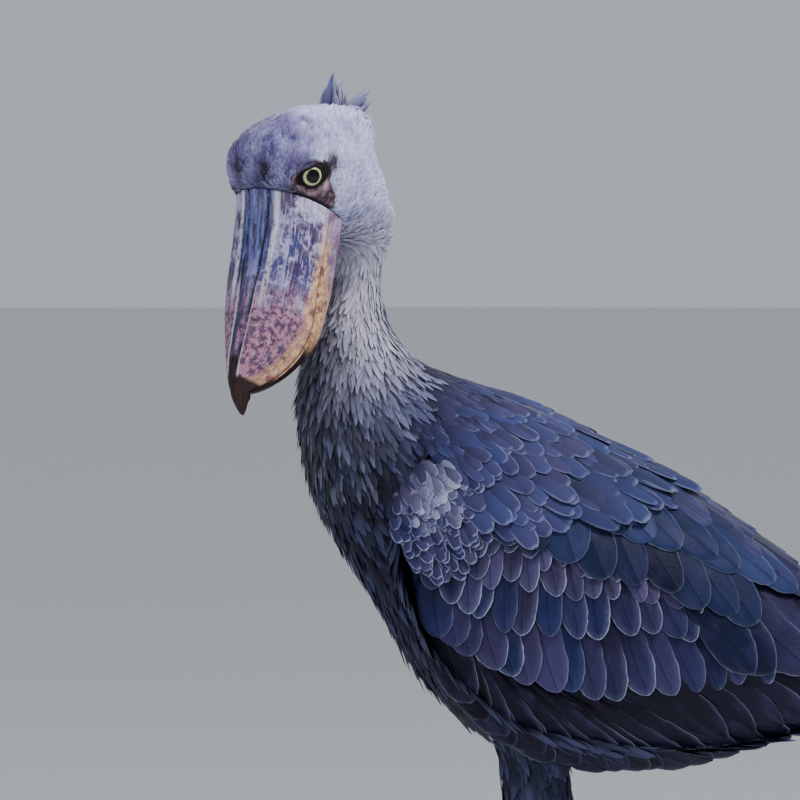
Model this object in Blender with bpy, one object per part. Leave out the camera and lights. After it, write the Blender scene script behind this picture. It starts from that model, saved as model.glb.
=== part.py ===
"""A shoebill standing still, life size: metres, +Z up, facing -Y, its left side toward +X.

The body is one loft from the crown to the tail base, parted into nodes by planar sections.
The folded wing is laid out on an envelope surface with two coordinates: `along` runs from the
shoulder (0) to the wing tip (1), `round` from the midline of the back (0) over the widest line
of the side (1) to below it. Feathers are vanes that run between two such places.
"""

import math
import random

import bmesh
import bpy
import numpy as np
from mathutils import Euler, Matrix, Vector

GAP = 0.0003

# Head: where the bill's base meets the line of the mouth, and how the head is turned.
HEAD_AT = (0.050, -0.2531, 1.0305)
HEAD_YAW = 46.0
HEAD_PITCH = 66.0
EYE_RADIUS = 0.014
EYE_AT = (0.0425, 0.0245, 0.0335)
EYE_AXIS = (0.85, -0.35, 0.39)
IRIS_HALF_WIDTH = 0.0105
ORBIT_RADIUS = 0.0195
BILL_SPACE_FLOOR = -0.0525
NOSTRIL_AT = (0.0145, -0.022, 0.0425)
NOSTRIL_HALF_SIZES = (0.0012, 0.0070, 0.0040)

# Legs and feet.
LEG_APART = 0.150
KNEE_HEIGHT = 0.580
FEATHER_END_HEIGHT = 0.365
ANKLE_HEIGHT = 0.262
ANKLE_BACK = 0.030
RIGHT_STRIDE = 0.035
SHANK_RADIUS = 0.0085
TOE_LENGTHS = {"inner": 0.138, "middle": 0.172, "outer": 0.148, "hind": 0.086}
TOE_ANGLES = {"inner": 27.0, "middle": 0.0, "outer": -29.0, "hind": 168.0}
TOE_RADIUS = 0.0098

# Feathers.
VANE_THICKNESS = 0.0007
VANE_TILT = 0.0011
TIER_STEP = 0.0036
TAIL_LENGTH = 0.215
TAIL_FEATHERS = 12
CORE_DEPTH = 0.009
TAIL_STEP = 0.0011
TAIL_SLOPE = -32.0
TAIL_FAN = 11.5
SPACE_BEHIND_WING = 0.0005

# Rows of the body's loft, crown to tail base: centre x y z, lean of the section from level in
# degrees, yaw in degrees, half depth, half width and roundness of the section.
BODY_ROWS = (
    (0.006, -0.2105, 1.1340, 0, 46, 0.024, 0.015, 2.0),
    (0.008, -0.2125, 1.1255, 0, 46, 0.042, 0.030, 2.1),
    (0.0115, -0.216, 1.108, 0, 46, 0.052, 0.041, 2.2),
    (0.0126, -0.217, 1.088, 0, 46, 0.053, 0.047, 2.2),
    (0.0104, -0.2149, 1.065, 0, 46, 0.057, 0.053, 2.2),
    (0.0054, -0.210, 1.045, 0, 46, 0.057, 0.054, 2.2),
    (-0.0004, -0.2045, 1.025, 0, 45, 0.056, 0.054, 2.2),
    (-0.0075, -0.1975, 1.005, 0, 42, 0.047, 0.048, 2.1),
    (-0.0135, -0.1913, 0.985, 0, 38, 0.035, 0.039, 2.0),
    (-0.014, -0.1895, 0.960, 0, 28, 0.031, 0.034, 2.0),
    (-0.009, -0.1919, 0.925, 3, 14, 0.039, 0.039, 2.0),
    (-0.003, -0.1895, 0.890, 12, 5, 0.053, 0.050, 2.0),
    (0.000, -0.1835, 0.852, 28, 0, 0.071, 0.064, 2.0),
    (0.000, -0.1575, 0.799, 46, 0, 0.096, 0.082, 2.1),
    (0.000, -0.0955, 0.736, 52, 0, 0.123, 0.099, 2.1),
    (0.000, -0.0280, 0.672, 52, 0, 0.147, 0.105, 2.1),
    (0.000, 0.0510, 0.620, 52, 0, 0.150, 0.100, 2.1),
    (0.000, 0.1510, 0.614, 53, 0, 0.101, 0.078, 2.1),
    (0.000, 0.2304, 0.600, 54, 0, 0.047, 0.048, 2.0),
    (0.000, 0.2840, 0.570, 56, 0, 0.020, 0.044, 2.0),
    (0.000, 0.3235, 0.545, 58, 0, 0.007, 0.036, 2.0),
)
HEAD_END_ROW = 7.8
NECK_END_ROW = 12.5
TORSO_END_ROW = 18.0

# Rows of the face, back from the bill's base in the head's own frame: y, top, bottom, half width.
FACE_ROWS = (
    (0.000, 0.060, -0.050, 0.0540),
    (0.014, 0.075, -0.056, 0.0560),
    (0.032, 0.081, -0.062, 0.0575),
    (0.052, 0.073, -0.066, 0.0550),
    (0.072, 0.057, -0.064, 0.0480),
    (0.090, 0.038, -0.056, 0.0380),
    (0.104, 0.018, -0.042, 0.0250),
    (0.111, 0.004, -0.028, 0.0120),
)

# Rows of the bill, forward from its base: y, half width, culmen, mouth line, mandible's keel.
BILL_ROWS = (
    (0.000, 0.0525, 0.0530, 0.0000, -0.0460),
    (-0.020, 0.0530, 0.0440, -0.0030, -0.0475),
    (-0.050, 0.0527, 0.0360, -0.0090, -0.0505),
    (-0.090, 0.0510, 0.0295, -0.0180, -0.0550),
    (-0.122, 0.0465, 0.0245, -0.0275, -0.0570),
    (-0.146, 0.0370, 0.0215, -0.0290, -0.0490),
    (-0.170, 0.0235, 0.0185, -0.0220, -0.0350),
    (-0.186, 0.0130, 0.0140, -0.0120, -0.0200),
    (-0.1925, 0.0095, 0.0110, -0.0080, -0.0110),
)
HOOK_ROWS = (
    (-0.1945, 0.0086, 0.0100, -0.0150),
    (-0.2020, 0.0064, 0.0045, -0.0190),
    (-0.2085, 0.0042, -0.0040, -0.0195),
    (-0.2130, 0.0018, -0.0120, -0.0180),
)
RIDGE_HALF_WIDTH = 0.0085
RIDGE_HEIGHT = 0.0022

# Rows of the folded wing's envelope, shoulder to tip: the midline's y z, the widest line's y z
# and its distance from the midplane.
WING_ROWS = (
    (-0.085, 0.860, -0.151, 0.770, 0.085),
    (-0.020, 0.830, -0.108, 0.720, 0.118),
    (0.060, 0.786, -0.050, 0.660, 0.135),
    (0.140, 0.740, 0.025, 0.600, 0.138),
    (0.221, 0.686, 0.117, 0.560, 0.122),
    (0.291, 0.635, 0.204, 0.535, 0.095),
    (0.361, 0.586, 0.301, 0.530, 0.066),
    (0.428, 0.549, 0.389, 0.526, 0.034),
)


def blend(keys, rows, at):
    """Smooth rows of numbers read between their keys."""
    keys = np.asarray(keys, float)
    rows = np.asarray(rows, float)
    at = np.atleast_1d(np.asarray(at, float))
    slopes = np.gradient(rows, keys, axis=0)
    first = np.clip(np.searchsorted(keys, at, side="right") - 1, 0, len(keys) - 2)
    span = (keys[first + 1] - keys[first])[:, None]
    part = ((at - keys[first]) / span[:, 0])[:, None]
    return (
        (2 * part**3 - 3 * part**2 + 1) * rows[first]
        + (part**3 - 2 * part**2 + part) * span * slopes[first]
        + (3 * part**2 - 2 * part**3) * rows[first + 1]
        + (part**3 - part**2) * span * slopes[first + 1]
    )


def rounded(angle, power):
    """Sine and cosine drawn out toward a square by the section's power."""
    sine, cosine = np.sin(angle), np.cos(angle)
    return (
        np.sign(sine) * np.abs(sine) ** (2 / power),
        np.sign(cosine) * np.abs(cosine) ** (2 / power),
    )


def section(centre, across, up, power, sides):
    """One closed ring of a loft."""
    angles = np.arange(sides) * 2 * math.pi / sides
    sine, cosine = rounded(angles, power)
    return np.asarray(centre) + np.outer(sine, across) + np.outer(cosine, up)


def mesh_object(name, points, faces, collection):
    """A mesh object with its faces turned outward."""
    mesh = bpy.data.meshes.new(name)
    mesh.from_pydata([tuple(map(float, point)) for point in points], [], faces)
    work = bmesh.new()
    work.from_mesh(mesh)
    bmesh.ops.remove_doubles(work, verts=work.verts, dist=1e-6)
    bmesh.ops.recalc_face_normals(work, faces=work.faces)
    work.to_mesh(mesh)
    work.free()
    made = bpy.data.objects.new(name, mesh)
    collection.objects.link(made)
    return made


def loft(name, rings, collection):
    """A closed solid through rings of one point count, with a fan over each end."""
    rings = np.asarray(rings)
    count, sides = rings.shape[:2]
    points = list(rings.reshape(-1, 3)) + [rings[0].mean(0), rings[-1].mean(0)]
    faces = []
    for row in range(count - 1):
        for side in range(sides):
            here = row * sides + side
            beside = row * sides + (side + 1) % sides
            faces.append((here, beside, beside + sides))
            faces.append((here, beside + sides, here + sides))
    for side in range(sides):
        after = (side + 1) % sides
        faces.append((after, side, count * sides))
        faces.append(((count - 1) * sides + side, (count - 1) * sides + after, count * sides + 1))
    return mesh_object(name, points, faces, collection)


def plate(name, top, bottom, collection):
    """A thin closed solid between two grids of points, triangulated alike."""
    top, bottom = np.asarray(top), np.asarray(bottom)
    rows, columns = top.shape[:2]
    count = rows * columns
    points = list(top.reshape(-1, 3)) + list(bottom.reshape(-1, 3))
    faces = []
    for row in range(rows - 1):
        for column in range(columns - 1):
            a = row * columns + column
            b, c, d = a + 1, a + columns + 1, a + columns
            corners = ((a, b, d), (b, c, d))
            if column < (columns - 1) / 2:
                corners = ((a, b, c), (a, c, d))
            for corner in corners:
                faces.append(corner)
                faces.append(tuple(count + i for i in reversed(corner)))
    rim = [(row, 0) for row in range(rows)] + [(rows - 1, c) for c in range(1, columns)]
    rim += [(row, columns - 1) for row in range(rows - 2, -1, -1)]
    rim += [(0, column) for column in range(columns - 2, 0, -1)]
    for (row_a, column_a), (row_b, column_b) in zip(rim, rim[1:] + rim[:1]):
        a, b = row_a * columns + column_a, row_b * columns + column_b
        faces.append((b, a, count + a))
        faces.append((b, count + a, count + b))
    return mesh_object(name, points, faces, collection)


def boolean(target, operation, operand, solver="MANIFOLD"):
    """Apply one Boolean, with an object or a collection as the operand."""
    modifier = target.modifiers.new(operation.lower(), "BOOLEAN")
    modifier.operation = operation
    modifier.solver = solver
    if isinstance(operand, bpy.types.Collection):
        modifier.operand_type = "COLLECTION"
        modifier.collection = operand
    else:
        modifier.object = operand
    bpy.context.view_layer.update()
    result = bpy.data.meshes.new_from_object(
        target.evaluated_get(bpy.context.evaluated_depsgraph_get())
    )
    target.modifiers.remove(modifier)
    target.data = result


def keep_largest(target):
    """Drop every closed surface of a mesh but the one of the largest volume."""
    work = bmesh.new()
    work.from_mesh(target.data)
    bmesh.ops.triangulate(work, faces=work.faces)
    left = set(work.faces)
    surfaces = []
    while left:
        found = [left.pop()]
        for face in found:
            for edge in face.edges:
                for other in edge.link_faces:
                    if other in left:
                        left.remove(other)
                        found.append(other)
        volume = sum(
            face.calc_center_median().dot(face.normal) * face.calc_area() / 3 for face in found
        )
        surfaces.append((volume, found))
    surfaces.sort(key=lambda pair: pair[0])
    scraps = [face for _, faces in surfaces[:-1] for face in faces]
    bmesh.ops.delete(work, geom=scraps, context="FACES")
    loose = [vertex for vertex in work.verts if not vertex.link_faces]
    bmesh.ops.delete(work, geom=loose, context="VERTS")
    work.to_mesh(target.data)
    work.free()


def fuse(core, pieces, solver="MANIFOLD"):
    """Join a collection of closed pieces into a core, and remove them."""
    boolean(core, "UNION", pieces, solver)
    for piece in list(pieces.objects):
        bpy.data.objects.remove(piece)
    keep_largest(core)


def new_collection(name):
    made = bpy.data.collections.new(name)
    bpy.context.scene.collection.children.link(made)
    return made


def principled(name, colour, roughness):
    """A plain Principled material."""
    material = bpy.data.materials.new(name)
    material.use_nodes = True
    shader = material.node_tree.nodes["Principled BSDF"]
    shader.inputs["Base Color"].default_value = (*colour, 1.0)
    shader.inputs["Roughness"].default_value = roughness
    shader.inputs["Metallic"].default_value = 0.0
    material.diffuse_color = (*colour, 1.0)
    return material


def cutter_style(cutter):
    cutter.hide_render = True
    cutter.display_type = "WIRE"


def head_matrix():
    """From the head's own frame to the body's."""
    turn = Euler((math.radians(HEAD_PITCH), 0.0, math.radians(HEAD_YAW))).to_matrix()
    return Matrix.Translation(HEAD_AT) @ turn.to_4x4()


def from_head(points):
    """Points of the head's own frame in the body's frame."""
    matrix = np.array(head_matrix())
    return np.asarray(points) @ matrix[:3, :3].T + matrix[:3, 3]


def body_ring(at, sides, swell=0.0):
    """One section of the body's loft."""
    x, y, z, lean, yaw, depth, width, power = blend(range(len(BODY_ROWS)), BODY_ROWS, at)[0]
    lean, yaw = math.radians(lean), math.radians(yaw)
    back = np.array((-math.sin(yaw) * math.cos(lean), math.cos(yaw) * math.cos(lean), math.sin(lean)))
    side = np.array((math.cos(yaw), math.sin(yaw), 0.0))
    return section((x, y, z), side * (width + swell), back * (depth + swell), power, sides)


def body_loft(name, start, end, steps, sides, collection, swell=0.0):
    """A length of the body between two rows."""
    rings = [body_ring(at, sides, swell) for at in np.linspace(start, end, steps + 1)]
    return loft(name, rings, collection)


def row_gap(at):
    """How many rows make half a gap here."""
    step = 0.01
    apart = np.linalg.norm(body_ring(at + step, 4).mean(0) - body_ring(at, 4).mean(0))
    return GAP / 2 * step / apart


def blade(name, line, width, profile, facing, thickness, collection):
    """A free vane along a line of points, as wide as its profile and facing one way."""
    line = np.asarray(line, float)
    along = np.gradient(line, axis=0)
    along /= np.linalg.norm(along, axis=1)[:, None]
    across = np.cross(along, facing)
    across /= np.linalg.norm(across, axis=1)[:, None]
    normal = np.cross(across, along)
    half = np.asarray(profile)[:, None] * width / 2
    top = np.stack((line - across * half, line + across * half), axis=1)
    lower = normal[:, None, :] * thickness
    return plate(name, top, top - lower, collection)


def face_loft(collection):
    """The front of the head, from the flat at the bill's base to the back of the crown."""
    rings = []
    keys = [row[0] for row in FACE_ROWS]
    for y in np.append(np.linspace(keys[0] + GAP, 0.100, 7), keys[-1]):
        _, top, bottom, width = blend(keys, FACE_ROWS, y)[0]
        centre = (0.0, y, (top + bottom) / 2)
        rings.append(section(centre, (width, 0, 0), (0, 0, (top - bottom) / 2), 2.45, 18))
    return loft("face", from_head(rings), collection)


def eye_place(side, depth=0.0):
    """A point on one eye's axis, measured out from the ball's centre."""
    axis = Vector(EYE_AXIS).normalized()
    local = Vector(EYE_AT) + axis * depth
    return head_matrix() @ Vector((local.x * side, local.y, local.z))


def eye_axis(side):
    axis = Vector(EYE_AXIS).normalized()
    return (head_matrix().to_3x3() @ Vector((axis.x * side, axis.y, axis.z))).normalized()


def ball(name, centre, radius, segments, rings, axis, collection):
    """A sphere with its poles on an axis."""
    mesh = bpy.data.meshes.new(name)
    work = bmesh.new()
    bmesh.ops.create_uvsphere(work, u_segments=segments, v_segments=rings, radius=radius)
    turn = Vector((0, 0, 1)).rotation_difference(axis).to_matrix().to_4x4()
    bmesh.ops.transform(work, matrix=Matrix.Translation(centre) @ turn, verts=work.verts)
    bmesh.ops.triangulate(work, faces=work.faces)
    work.to_mesh(mesh)
    work.free()
    made = bpy.data.objects.new(name, mesh)
    collection.objects.link(made)
    return made


def lid_ring(side, collection):
    """The bare rim of the lids, an oval ring round the iris."""
    axis = np.array(eye_axis(side))
    centre = np.array(eye_place(side, 0.0105))
    fore = np.cross(axis, np.array((0.0, 0.0, 1.0)))
    fore /= np.linalg.norm(fore)
    above = np.cross(fore, axis)
    turns, sides = 12, 5
    points, faces = [], []
    for turn in range(turns):
        angle = 2 * math.pi * turn / turns
        out = fore * math.cos(angle) * 1.08 + above * math.sin(angle)
        for step in range(sides):
            round_angle = 2 * math.pi * step / sides
            reach = IRIS_HALF_WIDTH + 0.0018 + 0.0026 * math.cos(round_angle)
            points.append(centre + out * reach + axis * 0.0030 * math.sin(round_angle))
    for turn in range(turns):
        for step in range(sides):
            a = turn * sides + step
            b = turn * sides + (step + 1) % sides
            c = ((turn + 1) % turns) * sides + (step + 1) % sides
            d = ((turn + 1) % turns) * sides + step
            faces += [(a, b, c), (a, c, d)]
    return mesh_object("lid", points, faces, collection)


def crest(collection):
    """The occipital crest: an upright tuft and a longer one that sweeps back."""
    draw = random.Random(4)
    tufts = (
        ((0.000, 0.1180, -0.019), (0.0, 0.93, 0.36), 0.040, 4),
        ((0.000, 0.1240, -0.040), (0.0, 0.72, -0.66), 0.042, 5),
    )
    for root, way, length, count in tufts:
        for index in range(count):
            spread = (index - (count - 1) / 2) / count
            start = np.array(root) + np.array((spread * 0.026, 0.0, draw.uniform(-0.006, 0.006)))
            heading = np.array(way) + np.array((spread * 0.5, draw.uniform(-0.1, 0.1), 0.0))
            heading /= np.linalg.norm(heading)
            reach = length * (1 - 0.45 * abs(spread)) * draw.uniform(0.85, 1.05)
            bend = np.array((-spread * 0.9, -0.06, -0.10)) * reach
            line = [
                start + heading * reach * s + bend * max(s, 0.0) ** 2 for s in (-0.22, 0.3, 0.68, 1.0)
            ]
            facing = from_head([(0.0, 0.45, 0.9)])[0] - from_head([(0, 0, 0)])[0]
            profile = (0.8, 1.0, 0.6, 0.12)
            blade("crest", from_head(line), 0.011, profile, facing, VANE_THICKNESS, collection)


def build_head(body, workshop):
    """Head with crest and lids, flat where the bill's halves meet it."""
    end = HEAD_END_ROW - row_gap(HEAD_END_ROW)
    head = body_loft("head", 0.0, end, 10, 18, body)
    pieces = new_collection("head pieces")
    face_loft(pieces)
    crest(pieces)
    fuse(head, pieces)
    low, high = (-0.2, -0.3, BILL_SPACE_FLOOR), (0.2, GAP, 0.2)
    space = box("bill space", low, high, head_matrix(), workshop)
    boolean(head, "DIFFERENCE", space)
    for side in (-1, 1):
        place = eye_place(side, EYE_RADIUS + 0.85 * ORBIT_RADIUS)
        dish = ball("orbit", place, ORBIT_RADIUS, 14, 8, eye_axis(side), workshop)
        cutter_style(dish)
        boolean(head, "DIFFERENCE", dish)
    for side in (-1, 1):
        lid_ring(side, pieces)
    fuse(head, pieces)
    for side in (-1, 1):
        socket = ball("socket", eye_place(side), EYE_RADIUS + GAP, 14, 10, eye_axis(side), workshop)
        cutter_style(socket)
        boolean(head, "DIFFERENCE", socket)
    keep_largest(head)
    bpy.data.collections.remove(pieces)
    return head


def box(name, low, high, matrix, collection):
    """A box between two corners of the frame that the matrix gives, as a cutter."""
    mesh = bpy.data.meshes.new(name)
    work = bmesh.new()
    bmesh.ops.create_cube(work, size=1.0)
    low, high = Vector(low), Vector(high)
    bmesh.ops.scale(work, vec=high - low, verts=work.verts)
    bmesh.ops.translate(work, vec=(high + low) / 2, verts=work.verts)
    bmesh.ops.transform(work, matrix=matrix, verts=work.verts)
    work.to_mesh(mesh)
    work.free()
    made = bpy.data.objects.new(name, mesh)
    collection.objects.link(made)
    cutter_style(made)
    return made


def build_bill_upper(body, workshop):
    """Upper half of the bill: a keeled culmen between grooves, ending in the hooked nail."""
    keys = [-row[0] for row in BILL_ROWS]
    rows = [row[:4] for row in BILL_ROWS]
    lengths = np.append(np.linspace(0.0, 0.17, 11), (0.180, 0.188, 0.1925))
    stations = [tuple(blend(keys, rows, length)[0]) for length in lengths] + list(HOOK_ROWS)
    angles = np.radians((-90, -68, -45, -24, -11, 0, 11, 24, 45, 68, 90))
    rings = []
    for y, width, top, mouth in stations:
        fade = np.clip((0.2 + y) / 0.05, 0, 1)
        sine, cosine = rounded(angles, 2.25)
        x = width * sine
        z = mouth + (top - mouth) * np.clip(cosine, 0, None)
        inside = np.clip(1 - np.abs(x) / RIDGE_HALF_WIDTH, 0, 1)
        z = z + fade * RIDGE_HEIGHT * (np.sqrt(inside) - 0.5 * (np.abs(sine) < 0.7))
        under_x = width * np.array((0.55, 0.0, -0.55))
        under_z = np.full(3, mouth + 0.0015 * fade)
        xs, zs = np.concatenate((x, under_x)), np.concatenate((z, under_z))
        rings.append(np.stack((xs, np.full(len(xs), y), zs), axis=1))
    upper = loft("bill_upper", from_head(rings), body)
    for side in (-1, 1):
        slit = ball("nostril", (0, 0, 0), 1.0, 10, 6, Vector((0, 0, 1)), workshop)
        place = Matrix.Translation((side * NOSTRIL_AT[0], *NOSTRIL_AT[1:]))
        shape = Matrix.Diagonal((*NOSTRIL_HALF_SIZES, 1.0))
        slit.data.transform(head_matrix() @ place @ Matrix.Rotation(-0.16, 4, "X") @ shape)
        cutter_style(slit)
        boolean(upper, "DIFFERENCE", slit)
    keep_largest(upper)
    return upper


def build_bill_lower(body):
    """Mandible: a trough-shaped wedge just inside the upper bill's edges."""
    keys = [-row[0] for row in BILL_ROWS]
    rings = []
    for length in np.append(np.linspace(0.0, 0.17, 10), (0.180, 0.188, 0.1915)):
        y, width, _, mouth, keel = blend(keys, BILL_ROWS, length)[0]
        width = max(width - 0.0016, 0.002)
        angles = np.radians((90, 112, 135, 158, 180, 202, 225, 248, 270))
        sine, cosine = rounded(angles, 2.5)
        rim = mouth - GAP
        x = width * sine
        z = rim + (rim - keel) * np.clip(cosine, -1, 0)
        upper_x = width * np.array((-0.5, 0.0, 0.5))
        upper_z = np.full(3, rim)
        xs, zs = np.concatenate((x, upper_x)), np.concatenate((z, upper_z))
        rings.append(np.stack((xs, np.full(len(xs), y), zs), axis=1))
    return loft("bill_lower", from_head(rings), body)


def build_eyes(body):
    """Eyeballs with a pole at the middle of each pupil."""
    eyes = []
    for side, name in ((1, "eye_left"), (-1, "eye_right")):
        eyes.append(ball(name, eye_place(side), EYE_RADIUS, 14, 10, eye_axis(side), body))
    return eyes


def wing_row(along):
    return blend(np.linspace(0, 1, len(WING_ROWS)), WING_ROWS, along).T


def wing_surface(along, round_, lift=0.0):
    """Points of the left wing's envelope, lifted along its outward normal."""

    def place(along, round_):
        top_y, top_z, side_y, side_z, width = wing_row(along)
        angle = np.clip(round_, 0.0, 1.0) * math.pi / 2
        power = 2 / 2.2
        below = np.clip(round_ - 1.0, 0.0, None)
        rise = np.where(round_ <= 1, np.abs(np.cos(angle)) ** power, -0.9 * below)
        out = np.where(round_ <= 1, np.sin(angle) ** power, 1 - 0.22 * below**2)
        y = side_y + (top_y - side_y) * rise
        z = side_z + (top_z - side_z) * rise
        return np.stack((width * out, y, z), axis=-1)

    along = np.atleast_1d(np.asarray(along, float))
    round_ = np.atleast_1d(np.asarray(round_, float))
    step = 1e-3
    slope_a = (place(along + step, round_) - place(along - step, round_)) / (2 * step)
    slope_r = (place(along, round_ + step) - place(along, np.abs(round_ - step))) / (2 * step)
    normal = np.cross(slope_r, slope_a)
    normal /= np.linalg.norm(normal, axis=-1)[..., None]
    normal = np.where(normal[..., :1] < 0, -normal, normal)
    return place(along, round_) + normal * np.asarray(lift)[..., None], slope_a, slope_r, normal


def wing_vane(name, root, tip, width, lifts, bow, collection):
    """A feather on the left wing's envelope between two places (along, round)."""
    root, tip = np.array(root, float), np.array(tip, float)
    steps = np.array((0.0, 0.36, 0.84, 1.0))
    profile = np.array((0.60, 1.0, 0.90, 0.14))
    lift = np.interp(steps, (0.0, 0.36, 1.0), lifts)
    way = tip - root
    side_way = np.array((-way[1], way[0]))
    places = root + np.outer(steps, way) + np.outer(np.sin(steps * math.pi) * bow, side_way)
    _, slope_a, slope_r, normal = wing_surface(places[:, 0], places[:, 1])
    ahead = slope_a * way[0] + slope_r * way[1]
    across = np.cross(normal, ahead)
    across /= np.linalg.norm(across, axis=1)[:, None]
    frame = np.stack((slope_a, slope_r), axis=2)
    metric = np.einsum("nki,nkj->nij", frame, frame)
    moved = np.einsum("nki,nk->ni", frame, across)
    shift = np.linalg.solve(metric, moved[..., None])[..., 0]
    top, bottom = [], []
    for offset, raise_ in ((-1.0, -VANE_TILT), (0.0, 0.0002), (1.0, VANE_TILT)):
        at = places + shift * (profile * width / 2 * offset)[:, None]
        height = lift + raise_
        top.append(wing_surface(at[:, 0], at[:, 1], height)[0])
        bottom.append(wing_surface(at[:, 0], at[:, 1], height - VANE_THICKNESS)[0])
    return plate(name, np.stack(top, axis=1), np.stack(bottom, axis=1), collection)


def wing_core(name, collection):
    """The wing's own thickness under the feathers, closed all round."""
    alongs = np.linspace(0.075, 0.96, 11)
    keys = (0.075, 0.20, 0.45, 0.70, 0.85, 0.96)
    upper = np.interp(alongs, keys, (0.62, 0.34, 0.20, 0.08, 0.08, 0.20))
    lower = np.interp(alongs, keys, (1.18, 1.48, 1.46, 1.36, 1.08, 0.90))
    depth = np.interp(alongs, keys, (0.016, 0.034, 0.034, 0.012, 0.007, 0.004))
    columns = 8
    outer, inner = [], []
    for along, top, low, thick in zip(alongs, upper, lower, depth):
        rounds = np.linspace(top, low, columns + 1)
        edge = np.sin(np.linspace(0, math.pi, columns + 1)) ** 0.5
        at = np.full(columns + 1, along)
        outer.append(wing_surface(at, rounds, -CORE_DEPTH - 0.004 * (1 - edge))[0])
        inner.append(wing_surface(at, rounds, -CORE_DEPTH - 0.006 - thick * edge)[0])
    return plate(name, outer, inner, collection)


def tier(first_tip, last_tip, arch, first_way, last_way, count):
    """Roots and tips of one row of feathers, front to back."""
    pairs = []
    for index in range(count):
        part = index / max(count - 1, 1)
        tip = np.array(first_tip) * (1 - part) + np.array(last_tip) * part
        tip[1] += arch * math.sin(math.pi * part)
        way = np.array(first_way) * (1 - part) + np.array(last_way) * part
        pairs.append((tip - way, tip))
    return pairs


# Tiers of the wing, from the lowest: the first and last tip, how far the tip line bows out, the
# first and last feather's run from root to tip, their number, width and level.
WING_TIERS = (
    ("primary", (0.86, 1.12), (1.00, 0.72), 0.02, (0.26, 0.16), (0.30, 0.06), 4, 0.032, -1.0),
    ("secondary", (0.37, 1.66), (0.84, 1.30), 0.22, (0.13, 0.28), (0.28, 0.42), 7, 0.056, 0.0),
    ("greater covert", (0.27, 1.52), (0.70, 0.93), 0.0, (0.10, 0.32), (0.13, 0.25), 7, 0.050, 1.0),
    ("median covert", (0.21, 1.28), (0.62, 0.72), -0.02, (0.07, 0.28), (0.10, 0.20), 6, 0.046, 2.0),
    ("tertial", (0.66, 0.86), (0.90, 0.50), 0.0, (0.16, 0.30), (0.28, 0.12), 4, 0.050, 3.0),
    ("scapular", (0.25, 0.88), (0.62, 0.62), -0.03, (0.09, 0.32), (0.16, 0.28), 5, 0.056, 4.0),
    ("upper scapular", (0.33, 0.60), (0.64, 0.36), 0.0, (0.12, 0.16), (0.20, 0.12), 4, 0.046, 5.0),
)


def build_wing(name, side, body, clearance):
    """A folded wing: a core and its feathers in tiers, hollowed to fit the body."""
    draw = random.Random(11)
    wing = wing_core(name, body)
    pieces = new_collection(name + " feathers")
    for label, *layout, width, level in WING_TIERS:
        height = level * TIER_STEP - CORE_DEPTH / 2
        lifts = (-CORE_DEPTH - 0.006, height, height)
        for root, tip in tier(*layout):
            wide = width * draw.uniform(0.95, 1.05)
            tip = tip + np.array((draw.uniform(-0.006, 0.006), draw.uniform(-0.012, 0.012)))
            wing_vane(label, root, tip, wide, lifts, 0.03, pieces)
    fuse(wing, pieces)
    bpy.data.collections.remove(pieces)
    boolean(wing, "DIFFERENCE", clearance)
    keep_largest(wing)
    if side < 0:
        wing.data.transform(Matrix.Diagonal((-1, 1, 1, 1)))
        wing.data.flip_normals()
    return wing


def tail_blade(label, turn, length, width, rise, collection):
    """One tail feather, fanned out by an angle and arched with the tail."""
    start = np.array(body_ring(TORSO_END_ROW, 4).mean(0)) + np.array((0.0, 0.020, -0.017))
    slope = math.radians(TAIL_SLOPE)
    line = []
    for s in (0.0, 0.45, 0.90, 1.0):
        reach = length * s + 0.02
        x = math.sin(turn) * (reach + 0.020)
        y = math.cos(turn) * math.cos(slope) * reach
        z = math.cos(turn) * math.sin(slope) * reach + rise[0] * (1 - s) + rise[1] * s
        arch = 2.2 * x * x
        line.append(start + np.array((x, y, z - arch)))
    profile = (0.6, 0.95, 0.85, 0.30)
    facing = (math.sin(turn) * 0.6, -math.sin(slope), math.cos(slope))
    return blade(label, line, width, profile, facing, VANE_THICKNESS, collection)


def build_tail(body):
    """Tail: its fleshy base, twelve feathers and coverts above and below."""
    start = TORSO_END_ROW + row_gap(TORSO_END_ROW)
    tail = body_loft("tail", start, len(BODY_ROWS) - 2, 4, 16, body)
    pieces = new_collection("tail feathers")
    draw = random.Random(7)
    for index in range(TAIL_FEATHERS):
        spread = (index - (TAIL_FEATHERS - 1) / 2) / (TAIL_FEATHERS / 2)
        turn = math.radians(TAIL_FAN) * spread + draw.uniform(-0.006, 0.006)
        inward = min(index, TAIL_FEATHERS - 1 - index)
        level = TAIL_STEP * (inward + max(inward - 4, 0) + (inward > 3) * (index > 5))
        length = TAIL_LENGTH * (1 - 0.05 * abs(spread)) * draw.uniform(0.99, 1.01)
        tail_blade("rectrix", turn, length, 0.027, (level, level), pieces)
    for rise, length in (((0.024, 0.0095), 0.115), ((-0.012, -0.0065), 0.140)):
        for index in range(4):
            turn = math.radians(8.0) * (index - 1.5) / 1.5 + draw.uniform(-0.01, 0.01)
            level = TAIL_STEP * index
            ends = (rise[0] + level, rise[1] + level)
            tail_blade("tail covert", turn, length * draw.uniform(0.95, 1.05), 0.028, ends, pieces)
    fuse(tail, pieces)
    bpy.data.collections.remove(pieces)
    return tail


def tube_rings(rows, sides):
    """Level rings from rows of x, y, z and two half widths."""
    return [section(row[:3], (row[3], 0, 0), (0, row[4], 0), 2.0, sides) for row in rows]


def stepped(rows, side):
    """A leg's rows, with the right foot a short stride ahead of the left."""
    rows = np.array(rows)
    if side < 0:
        rows[:, 1] -= RIGHT_STRIDE * (1 - rows[:, 2] / (KNEE_HEIGHT + 0.05))
    return rows


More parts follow.
